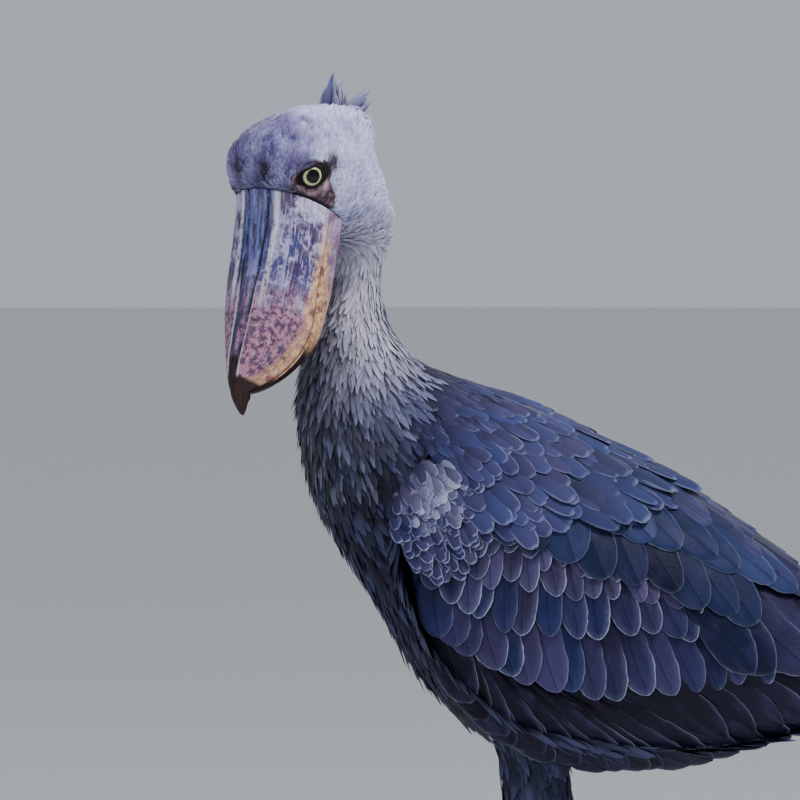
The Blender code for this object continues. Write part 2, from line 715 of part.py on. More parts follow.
def thigh_loft(name, side, collection, swell=0.0):
    """The feathered leg, uncut, from inside the flank to the bare shank."""
    x = side * LEG_APART / 2
    rows = (
        (x * 0.86, -0.040, KNEE_HEIGHT + 0.030, 0.030, 0.050),
        (x * 0.92, -0.034, KNEE_HEIGHT - 0.010, 0.035, 0.054),
        (x * 0.98, -0.018, KNEE_HEIGHT - 0.050, 0.032, 0.042),
        (x, -0.005, 0.490, 0.027, 0.030),
        (x, 0.003, 0.440, 0.021, 0.024),
        (x, 0.008, 0.395, 0.0165, 0.019),
        (x, 0.012, FEATHER_END_HEIGHT, 0.0115, 0.0125),
    )
    rows = stepped(rows, side)
    keys = np.linspace(0, 1, len(rows))
    smooth_rows = blend(keys, rows, np.linspace(0, 1, 10)) + np.array((0, 0, 0, swell, swell))
    return loft(name, tube_rings(smooth_rows, 14), collection)


def build_thigh(name, side, body, clearance):
    """The feathered leg where it shows outside the flank."""
    thigh = thigh_loft(name, side, body)
    boolean(thigh, "DIFFERENCE", clearance)
    keep_largest(thigh)
    return thigh


def build_shank(name, side, body):
    """Bare lower leg, ankle and tarsus."""
    x = side * LEG_APART / 2
    r = SHANK_RADIUS
    rows = (
        (x, 0.011, FEATHER_END_HEIGHT - GAP, r, r * 1.05),
        (x, 0.020, 0.320, r * 0.95, r * 1.05),
        (x, 0.027, 0.285, r * 1.15, r * 1.35),
        (x, ANKLE_BACK, ANKLE_HEIGHT, r * 1.60, r * 1.90),
        (x, 0.027, 0.238, r * 1.25, r * 1.45),
        (x, 0.021, 0.200, r * 0.92, r * 1.10),
        (x, 0.013, 0.120, r * 0.88, r * 1.05),
        (x, 0.006, 0.060, r * 0.98, r * 1.15),
        (x, 0.003, 0.030 + GAP, r * 1.20, r * 1.30),
    )
    rows = stepped(rows, side)
    keys = [0, 0.15, 0.27, 0.35, 0.43, 0.55, 0.78, 0.92, 1.0]
    smooth_rows = blend(keys, rows, np.linspace(0, 1, 15))
    return loft(name, tube_rings(smooth_rows, 10), body)


def toe(length, angle, side, centre, collection):
    """One toe with its knuckles and claw, before the sole is cut flat."""
    draw = math.radians(angle * side)
    way = np.array((math.sin(draw), -math.cos(draw), 0.0))
    across = np.array((math.cos(draw), math.sin(draw), 0.0))
    claw = 0.026 if length > 0.1 else 0.030
    rings = []
    for s in np.linspace(0, 1, 7):
        knuckle = 1 + 0.10 * math.cos(s * 3 * 2 * math.pi)
        radius = TOE_RADIUS * (1.05 - 0.32 * s) * knuckle
        height = radius * 0.82 + 0.007 * (1 - s) ** 3
        middle = centre + way * (length - claw) * s + np.array((0, 0, height))
        rings.append(section(middle, across * radius, (0, 0, radius), 2.0, 7))
    for s in (0.3, 1.0):
        radius = TOE_RADIUS * 0.62 * (1 - s) ** 0.7 + 0.0008
        height = TOE_RADIUS * (0.68 + 0.45 * math.sin(s * math.pi * 0.8)) * (1 - 0.45 * s)
        middle = centre + way * (length - claw + claw * s) + np.array((0, 0, height))
        rings.append(section(middle, across * radius * 0.8, (0, 0, radius), 2.0, 7))
    return loft("toe", rings, collection)


def build_foot(name, side, body, workshop):
    """A foot of three fore toes and one hind toe, flat underneath."""
    centre = stepped([(side * LEG_APART / 2, 0.0, 0.0)], side)[0]
    r = SHANK_RADIUS
    rows = (
        (centre[0], 0.003, 0.030, r * 1.20, r * 1.30),
        (centre[0], 0.001, 0.018, r * 1.55, r * 1.65),
        (centre[0], -0.002, 0.006, r * 1.60, r * 1.75),
        (centre[0], -0.002, -0.004, r * 1.20, r * 1.30),
    )
    rows = stepped(rows, side)
    foot = loft(name, tube_rings(rows, 10), body)
    pieces = new_collection(name + " toes")
    for label, length in TOE_LENGTHS.items():
        toe(length, TOE_ANGLES[label], side, centre, pieces)
    fuse(foot, pieces)
    bpy.data.collections.remove(pieces)
    ground = box("ground", (-1, -1, -1), (1, 1, 0), Matrix.Identity(4), workshop)
    boolean(foot, "DIFFERENCE", ground)
    keep_largest(foot)
    return foot


def paint(node, material):
    node.data.materials.clear()
    node.data.materials.append(material)


def centre_on_origin(nodes):
    """Move the bird so that the middle of its box stands on the origin."""
    corners = np.array([vertex.co for node in nodes for vertex in node.data.vertices])
    low, high = corners.min(0), corners.max(0)
    shift = Matrix.Translation((-(low[0] + high[0]) / 2, -(low[1] + high[1]) / 2, -low[2]))
    for node in nodes:
        node.data.transform(shift)


def wing_clearance(tail_cut, start, workshop):
    """The body's own space, with the tail base and the leg, kept out of the wing."""
    space = body_loft("wing clearance", start, tail_cut, 14, 24, workshop, SPACE_BEHIND_WING)
    cutter_style(space)
    end = len(BODY_ROWS) - 2
    tail_space = body_loft("tail space", tail_cut - 0.2, end, 4, 16, workshop, 0.001)
    cutter_style(tail_space)
    boolean(space, "UNION", tail_space)
    return space


def add_leg_space(space, workshop):
    leg_space = thigh_loft("thigh space", 1, workshop, 0.0006)
    cutter_style(leg_space)
    boolean(space, "UNION", leg_space)


def main():
    for old in list(bpy.data.objects):
        bpy.data.objects.remove(old)
    body = new_collection("shoebill")
    workshop = new_collection("cutters")
    workshop.hide_render = True

    head = build_head(body, workshop)
    bill = [build_bill_upper(body, workshop), build_bill_lower(body)]
    eyes = build_eyes(body)
    head_cut = HEAD_END_ROW + row_gap(HEAD_END_ROW)
    neck_cut = row_gap(NECK_END_ROW)
    neck = body_loft("neck", head_cut, NECK_END_ROW - neck_cut, 9, 18, body)
    torso_start = NECK_END_ROW + neck_cut
    tail_cut = TORSO_END_ROW - row_gap(TORSO_END_ROW)
    torso = body_loft("torso", torso_start, tail_cut, 14, 24, body)
    tail = build_tail(body)
    space = wing_clearance(tail_cut, torso_start, workshop)
    sides = (("left", 1), ("right", -1))
    thighs = [build_thigh("thigh_" + name, side, body, space) for name, side in sides]
    add_leg_space(space, workshop)
    wings = [build_wing("wing_" + name, side, body, space) for name, side in sides]
    shanks = [build_shank("shank_" + name, side, body) for name, side in sides]
    feet = [build_foot("foot_" + name, side, body, workshop) for name, side in sides]

    materials = (
        (principled("pale head plumage", (0.30, 0.31, 0.38), 0.85), [head]),
        (principled("mottled horn", (0.38, 0.30, 0.34), 0.4), bill),
        (principled("eye", (0.62, 0.66, 0.42), 0.1), eyes),
        (principled("slate plumage", (0.075, 0.095, 0.17), 0.75), [neck, torso, *thighs]),
        (principled("flight feathers", (0.045, 0.06, 0.13), 0.6), [tail, *wings]),
        (principled("leg skin", (0.10, 0.10, 0.11), 0.7), [*shanks, *feet]),
    )
    for material, nodes in materials:
        for node in nodes:
            paint(node, material)
    centre_on_origin([node for _, nodes in materials for node in nodes])


main()
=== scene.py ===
"""A life-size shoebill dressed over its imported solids: skin, plumage, horn, eyes and legs.

Shapes are worked out in the bird's design frame, where the feet's hubs lie at y = 0, and moved
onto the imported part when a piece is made. Lengths are in metres.
"""

from math import atan2, ceil, cos, pi, radians, sin, sqrt

import bmesh
import bpy
import numpy as np
from mathutils import Euler, Matrix, Vector, noise
from mathutils.bvhtree import BVHTree
from mathutils.kdtree import KDTree


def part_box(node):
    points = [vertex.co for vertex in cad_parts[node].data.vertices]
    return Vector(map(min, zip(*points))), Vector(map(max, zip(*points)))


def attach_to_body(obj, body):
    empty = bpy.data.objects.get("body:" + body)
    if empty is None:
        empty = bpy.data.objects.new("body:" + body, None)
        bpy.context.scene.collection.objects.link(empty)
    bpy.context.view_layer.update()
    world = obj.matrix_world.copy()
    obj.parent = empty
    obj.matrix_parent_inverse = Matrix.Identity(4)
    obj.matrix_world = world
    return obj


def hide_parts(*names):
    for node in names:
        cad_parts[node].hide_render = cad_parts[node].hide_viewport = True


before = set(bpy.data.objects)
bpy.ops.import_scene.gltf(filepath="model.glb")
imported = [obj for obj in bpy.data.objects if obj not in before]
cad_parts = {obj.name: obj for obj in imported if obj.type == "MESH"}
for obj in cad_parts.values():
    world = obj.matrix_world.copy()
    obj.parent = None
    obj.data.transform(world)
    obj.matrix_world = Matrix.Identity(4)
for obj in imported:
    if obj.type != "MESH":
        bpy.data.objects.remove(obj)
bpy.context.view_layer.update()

# Head, its turn, and the eye in the head's own frame.
HEAD_AT = (0.050, -0.2531, 1.0305)
HEAD_YAW = 46.0
HEAD_PITCH = 66.0
EYE_RADIUS = 0.014
EYE_AT = (0.0425, 0.0245, 0.0335)
EYE_AXIS = (0.85, -0.35, 0.39)
IRIS_RADIUS = 0.0103
PUPIL_RADIUS = 0.0069
CREST_TUFTS = (
    ((0.000, 0.1160, -0.019), (0.0, 0.95, 0.22), 0.042),
    ((0.000, 0.1240, -0.044), (0.0, 0.88, -0.47), 0.042),
)

# Places in the head's frame that the bare skin round the left eye reaches toward.
GAPE_AT = (0.054, 0.006, -0.004)
LORES_AT = (0.053, 0.001, 0.030)
BEHIND_EYE_AT = (0.049, 0.044, 0.013)
EYE_CORNER_AT = (0.045, 0.002, 0.057)

# Legs and feet; each toe's length, its angle from straight ahead, and its claw's length.
LEG_APART = 0.150
KNEE_HEIGHT = 0.580
FEATHER_END_HEIGHT = 0.365
ANKLE_HEIGHT = 0.262
ANKLE_BACK = 0.030
RIGHT_STRIDE = 0.035
SHANK_RADIUS = 0.0085
TOE_RADIUS = 0.0098
TOES = (
    (0.138, 27.0, 0.026),
    (0.172, 0.0, 0.026),
    (0.148, -29.0, 0.026),
    (0.086, 168.0, 0.030),
)
GROUND = 0.0002

# Wing and tail.
TIER_STEP = 0.0036
CORE_DEPTH = 0.009
WING_ROUNDNESS = 2.2
TAIL_LENGTH = 0.215
TAIL_SLOPE = -32.0
TAIL_FAN = 11.5
TAIL_COVERT_FAN = 9.5
TAIL_ROW = 18.0
TAIL_FEATHERS = 12

# Where the camera stands, in degrees round the bird and above it.
CAMERA_TURN = 86.0
CAMERA_RISE = 2.0

SIDES = ((1, "left"), (-1, "right"))

# Rows of the body, crown to tail base: centre x y z, lean and yaw of the section in degrees,
# half depth, half width and roundness.
BODY_ROWS = (
    (0.006, -0.2105, 1.1340, 0, 46, 0.024, 0.015, 2.0),
    (0.008, -0.2125, 1.1255, 0, 46, 0.042, 0.030, 2.1),
    (0.0115, -0.216, 1.108, 0, 46, 0.052, 0.041, 2.2),
    (0.0126, -0.217, 1.088, 0, 46, 0.053, 0.047, 2.2),
    (0.0104, -0.2149, 1.065, 0, 46, 0.057, 0.053, 2.2),
    (0.0054, -0.210, 1.045, 0, 46, 0.057, 0.054, 2.2),
    (-0.0004, -0.2045, 1.025, 0, 45, 0.056, 0.054, 2.2),
    (-0.0075, -0.1975, 1.005, 0, 42, 0.047, 0.048, 2.1),
    (-0.0135, -0.1913, 0.985, 0, 38, 0.035, 0.039, 2.0),
    (-0.014, -0.1895, 0.960, 0, 28, 0.031, 0.034, 2.0),
    (-0.009, -0.1919, 0.925, 3, 14, 0.039, 0.039, 2.0),
    (-0.003, -0.1895, 0.890, 12, 5, 0.053, 0.050, 2.0),
    (0.000, -0.1835, 0.852, 28, 0, 0.071, 0.064, 2.0),
    (0.000, -0.1575, 0.799, 46, 0, 0.096, 0.082, 2.1),
    (0.000, -0.0955, 0.736, 52, 0, 0.123, 0.099, 2.1),
    (0.000, -0.0280, 0.672, 52, 0, 0.147, 0.105, 2.1),
    (0.000, 0.0510, 0.620, 52, 0, 0.150, 0.100, 2.1),
    (0.000, 0.1510, 0.614, 53, 0, 0.101, 0.078, 2.1),
    (0.000, 0.2304, 0.600, 54, 0, 0.047, 0.048, 2.0),
    (0.000, 0.2840, 0.570, 56, 0, 0.020, 0.044, 2.0),
    (0.000, 0.3235, 0.545, 58, 0, 0.007, 0.036, 2.0),
)
SKIN_END_ROW = 19.3

# Rows of the face in the head's frame, back from the bill's base: y, top, bottom, half width.
FACE_ROWS = (
    (0.000, 0.060, -0.050, 0.0540),
    (0.014, 0.075, -0.056, 0.0560),
    (0.032, 0.081, -0.062, 0.0575),
    (0.052, 0.073, -0.066, 0.0550),
    (0.072, 0.057, -0.064, 0.0480),
    (0.090, 0.038, -0.056, 0.0380),
    (0.104, 0.018, -0.042, 0.0250),
    (0.111, 0.004, -0.028, 0.0120),
)

# Rows of the bill, forward from its base: y, half width, culmen, mouth line, mandible's keel.
BILL_ROWS = (
    (0.000, 0.0525, 0.0530, 0.0000, -0.0460),
    (-0.020, 0.0530, 0.0440, -0.0030, -0.0475),
    (-0.050, 0.0527, 0.0360, -0.0090, -0.0505),
    (-0.090, 0.0510, 0.0295, -0.0180, -0.0550),
    (-0.122, 0.0465, 0.0245, -0.0275, -0.0570),
    (-0.146, 0.0370, 0.0215, -0.0290, -0.0510),
    (-0.170, 0.0235, 0.0185, -0.0220, -0.0385),
    (-0.186, 0.0130, 0.0140, -0.0120, -0.0240),
    (-0.1925, 0.0095, 0.0110, -0.0080, -0.0140),
)
HOOK_ROWS = (
    (-0.1945, 0.0084, 0.0098, -0.0110),
    (-0.2020, 0.0060, 0.0045, -0.0125),
    (-0.2085, 0.0038, -0.0040, -0.0150),
    (-0.2135, 0.0011, -0.0135, -0.0168),
)

# Rows of the folded wing's envelope, shoulder to tip: the midline's y z, the widest line's y z
# and its distance from the midplane.
WING_ROWS = (
    (-0.085, 0.860, -0.151, 0.770, 0.085),
    (-0.020, 0.830, -0.108, 0.720, 0.118),
    (0.060, 0.786, -0.050, 0.660, 0.135),
    (0.140, 0.740, 0.025, 0.600, 0.138),
    (0.221, 0.686, 0.117, 0.560, 0.122),
    (0.291, 0.635, 0.204, 0.535, 0.095),
    (0.361, 0.586, 0.301, 0.530, 0.066),
    (0.428, 0.549, 0.389, 0.526, 0.034),
)


# Shapes


def blend(keys, rows, at):
    """Smooth rows of numbers read between their keys."""
    keys = np.asarray(keys, float)
    rows = np.asarray(rows, float)
    at = np.atleast_1d(np.asarray(at, float))
    slopes = np.gradient(rows, keys, axis=0)
    first = np.clip(np.searchsorted(keys, at, side="right") - 1, 0, len(keys) - 2)
    span = (keys[first + 1] - keys[first])[:, None]
    part = ((at - keys[first]) / span[:, 0])[:, None]
    return (
        (2 * part**3 - 3 * part**2 + 1) * rows[first]
        + (part**3 - 2 * part**2 + part) * span * slopes[first]
        + (3 * part**2 - 2 * part**3) * rows[first + 1]
        + (part**3 - part**2) * span * slopes[first + 1]
    )


def drawn_out(rows, at):
    """Rows of numbers, evenly spaced from 0 to 1, read between."""
    return blend(np.linspace(0, 1, len(rows)), rows, at)


def smooth(value, low, high):
    """0 below low, 1 above high, with a soft step between."""
    part = np.clip((np.asarray(value, float) - low) / (high - low), 0, 1)
    return part * part * (3 - 2 * part)


def unit(vectors):
    vectors = np.asarray(vectors, float)
    return vectors / np.maximum(np.linalg.norm(vectors, axis=-1, keepdims=True), 1e-12)


def rounded(angle, power):
    """Sine and cosine drawn out toward a square by the section's power."""
    sine, cosine = np.sin(angle), np.cos(angle)
    return (
        np.sign(sine) * np.abs(sine) ** (2 / power),
        np.sign(cosine) * np.abs(cosine) ** (2 / power),
    )


def hump(offset, width):
    """A soft hump: 1 in its middle and nearly spent at twice its width."""
    return np.exp(-((offset / width) ** 2))


def round_angles(sides):
    """Even angles round a section."""
    return np.arange(sides) * 2 * pi / sides


def on_side(place, side):
    """A place or direction of the left side, or its mirror image on the right."""
    return np.asarray(place) * np.array((side, 1, 1))


def head_matrix():
    """From the head's own frame to the design frame."""
    turn = Euler((radians(HEAD_PITCH), 0.0, radians(HEAD_YAW))).to_matrix()
    return Matrix.Translation(HEAD_AT) @ turn.to_4x4()


HEAD = np.array(head_matrix())


def from_head(points):
    """Points of the head's frame, in the design frame."""
    return np.asarray(points) @ HEAD[:3, :3].T + HEAD[:3, 3]


def to_head(points):
    """Points of the design frame, in the head's frame."""
    return (np.asarray(points) - HEAD[:3, 3]) @ HEAD[:3, :3]


def eye_axis(side):
    """The way one eye looks."""
    return HEAD[:3, :3] @ on_side(unit(EYE_AXIS), side)


def eye_centre(side):
    """The middle of one eyeball."""
    return from_head(on_side(EYE_AT, side))


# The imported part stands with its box's middle on the origin: the left eye tells how far it moved.
low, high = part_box("eye_left")
SHIFT = (np.array(low) + np.array(high)) / 2 - eye_centre(1)


def body_rings(ats, sides):
    """Sections of the body's loft."""
    rows = blend(range(len(BODY_ROWS)), BODY_ROWS, ats)
    lean, yaw = np.radians(rows[:, 3]), np.radians(rows[:, 4])
    sine, cosine = rounded(round_angles(sides)[None, :], rows[:, 7:8])
    back = np.stack((-np.sin(yaw) * np.cos(lean), np.cos(yaw) * np.cos(lean), np.sin(lean)), 1)
    side = np.stack((np.cos(yaw), np.sin(yaw), np.zeros(len(yaw))), 1)
    across = sine[..., None] * (side * rows[:, 6:7])[:, None, :]
    up = cosine[..., None] * (back * rows[:, 5:6])[:, None, :]
    return rows[:, None, :3] + across + up


def face_rings(count, sides):
    """Sections of the front of the head."""
    front, last, end, roundness = 0.0003, 0.104, 0.111, 2.45
    ys = np.append(np.linspace(front, last, count), end)
    rows = blend([row[0] for row in FACE_ROWS], FACE_ROWS, ys)
    sine, cosine = rounded(round_angles(sides)[None, :], roundness)
    x = sine * rows[:, 3:4]
    z = (rows[:, 1:2] + rows[:, 2:3]) / 2 + cosine * (rows[:, 1:2] - rows[:, 2:3]) / 2
    return from_head(np.stack((x, np.repeat(ys[:, None], sides, 1), z), axis=-1))


def stepped(rows, side):
    """A leg's rows, with the right foot a short stride ahead of the left."""
    rows = np.array(rows, float)
    if side < 0:
        rows[:, 1] -= RIGHT_STRIDE * (1 - rows[:, 2] / (KNEE_HEIGHT + 0.05))
    return rows


def level_rings(rows, sides):
    """Level rings from rows of x, y, z and two half widths."""
    angles = round_angles(sides)
    out = np.stack((np.sin(angles), np.cos(angles)), 1)
    rings = np.repeat(rows[:, None, :3], sides, axis=1)
    rings[..., :2] += out[None] * rows[:, None, 3:5]
    return rings


def thigh_rings(side, count, sides):
    """The feathered leg, from inside the flank to the bare shank."""
    x = side * LEG_APART / 2
    rows = (
        (x * 0.86, -0.040, KNEE_HEIGHT + 0.030, 0.030, 0.050),
        (x * 0.92, -0.034, KNEE_HEIGHT - 0.010, 0.035, 0.054),
        (x * 0.98, -0.018, KNEE_HEIGHT - 0.050, 0.032, 0.042),
        (x, -0.005, 0.490, 0.027, 0.030),
        (x, 0.003, 0.440, 0.021, 0.024),
        (x, 0.008, 0.395, 0.0165, 0.019),
        (x, 0.012, FEATHER_END_HEIGHT, 0.0115, 0.0125),
    )
    rows = drawn_out(stepped(rows, side), np.linspace(0, 1, count))
    return level_rings(rows, sides)


def wing_place(along, round_):
    """The wing envelope's points: along from shoulder to tip, round from the back's midline."""
    top_y, top_z, side_y, side_z, width = drawn_out(WING_ROWS, along).T
    turn = np.abs(round_)
    angle = np.clip(turn, 0.0, 1.0) * pi / 2
    below = np.clip(turn - 1.0, 0.0, None)
    under = -0.72 * below - 0.125 * (1 - np.exp(-below / 0.11))
    rise = np.where(turn <= 1, np.abs(np.cos(angle)) ** (2 / WING_ROUNDNESS), under)
    out = np.where(turn <= 1, np.sin(angle) ** (2 / WING_ROUNDNESS), 1 - 0.22 * below**2)
    y = side_y + (top_y - side_y) * rise
    z = side_z + (top_z - side_z) * rise
    return np.stack((np.sign(round_ + 1e-12) * width * out, y, z), axis=-1)


def wing_surface(along, round_, lift=0.0):
    """Points of the envelope lifted along its outward normal, with its slopes."""
    along = np.atleast_1d(np.asarray(along, float))
    round_ = np.atleast_1d(np.asarray(round_, float))
    step_a, step_r = 0.008, 0.035
    slope_a = wing_place(along + step_a, round_) - wing_place(along - step_a, round_)
    slope_r = wing_place(along, round_ + step_r) - wing_place(along, round_ - step_r)
    slope_a, slope_r = slope_a / (2 * step_a), slope_r / (2 * step_r)
    normal = unit(np.cross(slope_r, slope_a))
    outward = normal[..., 2:] * 0.8 + normal[..., :1] * np.sign(round_)[..., None]
    normal = normal * np.where(outward < 0, -1, 1)
    points = wing_place(along, round_) + normal * np.asarray(lift)[..., None]
    return points, slope_a, slope_r, normal


# Making pieces


def grid_faces(rows, columns, start=0, closed=False):
    """Quads of a grid of points, row by row; a closed grid joins its last column to its first."""
    last = columns if closed else columns - 1
    row, column = np.meshgrid(np.arange(rows - 1), np.arange(last), indexing="ij")
    a = start + row * columns + column
    b = start + row * columns + (column + 1) % columns
    return np.stack((a, b, b + columns, a + columns), axis=-1).reshape(-1, 4)


# The kind of attribute that holds rows of one to four numbers, and the field they go in.
KINDS = {1: "FLOAT", 2: "FLOAT2", 3: "FLOAT_VECTOR", 4: "FLOAT_COLOR"}
FIELDS = {1: "value", 2: "vector", 3: "vector", 4: "color"}


def attach(mesh, name, values, domain="POINT"):
    """Write one attribute of a mesh from rows of numbers."""
    values = np.ascontiguousarray(values, np.float32)
    width = values.shape[1] if values.ndim > 1 else 1
    attribute = mesh.attributes.new(name, KINDS[width], domain)
    attribute.data.foreach_set(FIELDS[width], values.ravel())


def attach_tint(mesh, colours):
    """Write the colours that the finishes read, point by point."""
    attach(mesh, "tint", np.column_stack((colours, np.ones(len(colours)))))


def read_out(items, field, width=1, kind=np.int32):
    """One property of every vertex, edge, corner or face, as rows of numbers."""
    values = np.empty(len(items) * width, kind)
    items.foreach_get(field, values)
    return values.reshape(-1, width) if width > 1 else values


def corner_uv(mesh, name, point_uv):
    """A UV map that gives each corner its point's value."""
    corners = read_out(mesh.loops, "vertex_index")
    attach(mesh, name, np.asarray(point_uv)[corners], "CORNER")


def new_mesh(name, points, faces):
    """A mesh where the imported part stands, from points of the design frame."""
    mesh = bpy.data.meshes.new(name)
    faces = [list(map(int, face)) for face in faces]
    mesh.from_pydata((np.asarray(points) + SHIFT).tolist(), [], faces)
    return mesh


def link(name, data, material=None):
    """An object in the scene that holds a mesh, lamp or camera."""
    made = bpy.data.objects.new(name, data)
    bpy.context.scene.collection.objects.link(made)
    if material:
        data.materials.clear()
        data.materials.append(material)
    return made


def dress(piece, slot, *nodes):
    """Make a finished piece ride on the bird, in place of the nodes that it stands for."""
    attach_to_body(piece, "root")
    if nodes:
        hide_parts(*nodes)
    return piece


def settled(piece):
    """The piece with its modifiers worked into a plain mesh."""
    graph = bpy.context.evaluated_depsgraph_get()
    result = bpy.data.meshes.new_from_object(piece.evaluated_get(graph))
    piece.modifiers.clear()
    piece.data = result
    return piece


def one_surface(piece, voxel, rounds):
    """Overlapping lofts melted into one closed surface and softened."""
    remesh = piece.modifiers.new("one surface", "REMESH")
    remesh.mode = "VOXEL"
    remesh.voxel_size = voxel
    soften = piece.modifiers.new("soften", "SMOOTH")
    soften.factor = 0.5
    soften.iterations = rounds
    return settled(piece)


def loft_mesh(name, rings):
    """A closed loft of quads with a fan over each end."""
    rings = np.asarray(rings)
    count, sides = rings.shape[:2]
    points = np.concatenate((rings.reshape(-1, 3), rings[:1].mean(1), rings[-1:].mean(1)))
    faces = grid_faces(count, sides, closed=True).tolist()
    first, last, ring = count * sides, count * sides + 1, (count - 1) * sides
    for side in range(sides):
        after = (side + 1) % sides
        faces.append((after, side, first))
        faces.append((ring + side, ring + after, last))
    mesh = new_mesh(name, points, faces)
    work = bmesh.new()
    work.from_mesh(mesh)
    bmesh.ops.recalc_face_normals(work, faces=work.faces)
    work.to_mesh(mesh)
    work.free()
    mesh.shade_smooth()
    return mesh


def joined_meshes(name, meshes, finish):
    """Several meshes as one object."""
    work = bmesh.new()
    for mesh in meshes:
        work.from_mesh(mesh)
        bpy.data.meshes.remove(mesh)
    result = bpy.data.meshes.new(name)
    work.to_mesh(result)
    work.free()
    result.shade_smooth()
    return link(name, result, finish)


# Finishes


class Value:
    """A socket of a finish; arithmetic on it adds Math nodes."""

    def __init__(self, finish, socket):
        self.finish = finish
        self.socket = socket

    def __add__(self, other):
        return self.finish.math("ADD", self, other)

    def __radd__(self, other):
        return self.finish.math("ADD", other, self)

    def __sub__(self, other):
        return self.finish.math("SUBTRACT", self, other)

    def __rsub__(self, other):
        return self.finish.math("SUBTRACT", other, self)

    def __mul__(self, other):
        return self.finish.math("MULTIPLY", self, other)

    def __rmul__(self, other):
        return self.finish.math("MULTIPLY", other, self)


class Finish:
    """A procedural material, with short ways to add its nodes."""

    def __init__(self, name, roughness, coat=0.0, specular=0.5):
        self.material = bpy.data.materials.new(name)
        self.material.use_nodes = True
        self.tree = self.material.node_tree
        self.shader = self.tree.nodes["Principled BSDF"]
        self.shade = None
        self.constant("Roughness", roughness)
        self.constant("Coat Weight", coat)
        self.constant("Specular IOR Level", specular)

    def constant(self, name, value):
        """A number or colour that is the same all over the surface."""
        self.shader.inputs[name].default_value = value

    def add(self, kind, settings=None, sockets=None, output=0):
        """One node: its settings first, then the values or links of its sockets."""
        node = self.tree.nodes.new(kind)
        for key, value in (settings or {}).items():
            setattr(node, key, value)
        for key, value in (sockets or {}).items():
            if isinstance(value, Value):
                self.tree.links.new(value.socket, node.inputs[key])
            else:
                node.inputs[key].default_value = value
        return Value(self, node.outputs[output])

    def math(self, operation, first, second=0.0):
        return self.add("ShaderNodeMath", {"operation": operation}, {0: first, 1: second})

    def size(self, value):
        """How far a value lies from 0."""
        return self.math("ABSOLUTE", value)

    def mix(self, first, second, share, way="MIX"):
        """Two colours mixed; share is a number or a value."""
        first = (*first, 1.0) if isinstance(first, tuple) else first
        second = (*second, 1.0) if isinstance(second, tuple) else second
        settings = {"data_type": "RGBA", "blend_type": way}
        return self.add("ShaderNodeMix", settings, {0: share, 6: first, 7: second}, 2)

    def paint(self, colour, share, way="MIX"):
        """Lay a colour over what the finish shows so far."""
        self.shade = self.mix(self.shade, colour, share, way)

    def scaled(self, colour, light):
        """A colour made lighter or darker."""
        return self.add("ShaderNodeVectorMath", {"operation": "SCALE"}, {0: colour, "Scale": light})

    def step(self, value, low, high):
        """A soft step from 0, where the value is low, to 1, where it is high."""
        sockets = {"Value": value, "From Min": low, "From Max": high}
        return self.add("ShaderNodeMapRange", {"interpolation_type": "SMOOTHSTEP"}, sockets)

    def drop(self, value, low, high):
        """A soft step from 1, where the value is low, to 0, where it is high."""
        return 1.0 - self.step(value, low, high)

    def place(self):
        return self.add("ShaderNodeTexCoord", output="Object")

    def lay(self, name):
        """The three numbers of a UV map; the third is 0."""
        return self.parts(self.add("ShaderNodeUVMap", {"uv_map": name}))

    def parts(self, vector):
        """The three numbers of a vector."""
        first = self.add("ShaderNodeSeparateXYZ", None, {0: vector})
        outputs = first.socket.node.outputs
        return first, Value(self, outputs[1]), Value(self, outputs[2])

    def joined(self, x, y, z):
        return self.add("ShaderNodeCombineXYZ", None, {0: x, 1: y, 2: z})

    def stretched(self, vector, scale, turn=(0.0, 0.0, 0.0)):
        sockets = {"Vector": vector, "Scale": scale, "Rotation": turn}
        return self.add("ShaderNodeMapping", None, sockets)

    def grain(self, vector, scale, detail, rough=0.55):
        sockets = {"Vector": vector, "Scale": scale, "Detail": detail, "Roughness": rough}
        return self.add("ShaderNodeTexNoise", None, sockets)

    def cells(self, vector, scale, feature="F1", output=0):
        sockets = {"Vector": vector, "Scale": scale}
        return self.add("ShaderNodeTexVoronoi", {"feature": feature}, sockets, output)

    def held(self, name, output="Fac"):
        """What an attribute of the mesh holds."""
        return self.add("ShaderNodeAttribute", {"attribute_name": name}, None, output)

    def feed(self, name, value):
        """Let a value or colour drive one socket of the shader."""
        self.tree.links.new(value.socket, self.shader.inputs[name])

    def done(self, rough=None, height=None, distance=0.0006, strength=0.7):
        """The material, with its colour, and its roughness and relief where they vary."""
        self.feed("Base Color", self.shade)
        if rough:
            self.feed("Roughness", rough)
        if height:
            sockets = {"Strength": strength, "Distance": distance, "Height": height}
            self.feed("Normal", self.add("ShaderNodeBump", None, sockets))
        return self.material


def srgb(red, green, blue):
    """A colour read as it shows, in the numbers that a shader takes."""
    return tuple(
        c / 12.92 if c <= 0.04045 else ((c + 0.055) / 1.055) ** 2.4
        for c in (red / 255, green / 255, blue / 255)
    )


# Plumage colours, as they show in soft daylight.
HEAD_PALE = srgb(204, 207, 246)
HEAD_BLUE = srgb(108, 108, 166)
HEAD_DARK = srgb(44, 38, 84)
NAPE = srgb(190, 187, 208)
NECK_DARK = srgb(29, 30, 48)
NECK_STREAK = srgb(114, 119, 150)
BREAST = srgb(17, 17, 32)
BREAST_STREAK = srgb(62, 66, 100)
MANTLE = srgb(46, 53, 98)
BELLY = srgb(40, 37, 50)
THIGH = srgb(42, 46, 70)
SCAPULAR = srgb(46, 59, 108)
COVERT = srgb(26, 32, 72)
COVERT_WARM = srgb(55, 49, 84)
FLIGHT = srgb(6, 8, 24)
TERTIAL = srgb(15, 21, 50)
FRINGE = srgb(176, 186, 226)
# The dark of the painted shade in the face's hollows and along the bill's base.
PAINTED_SHADE = srgb(26, 20, 30)
BACK_DARK = srgb(18, 26, 60)
HEAD_PLUM = srgb(96, 72, 128)

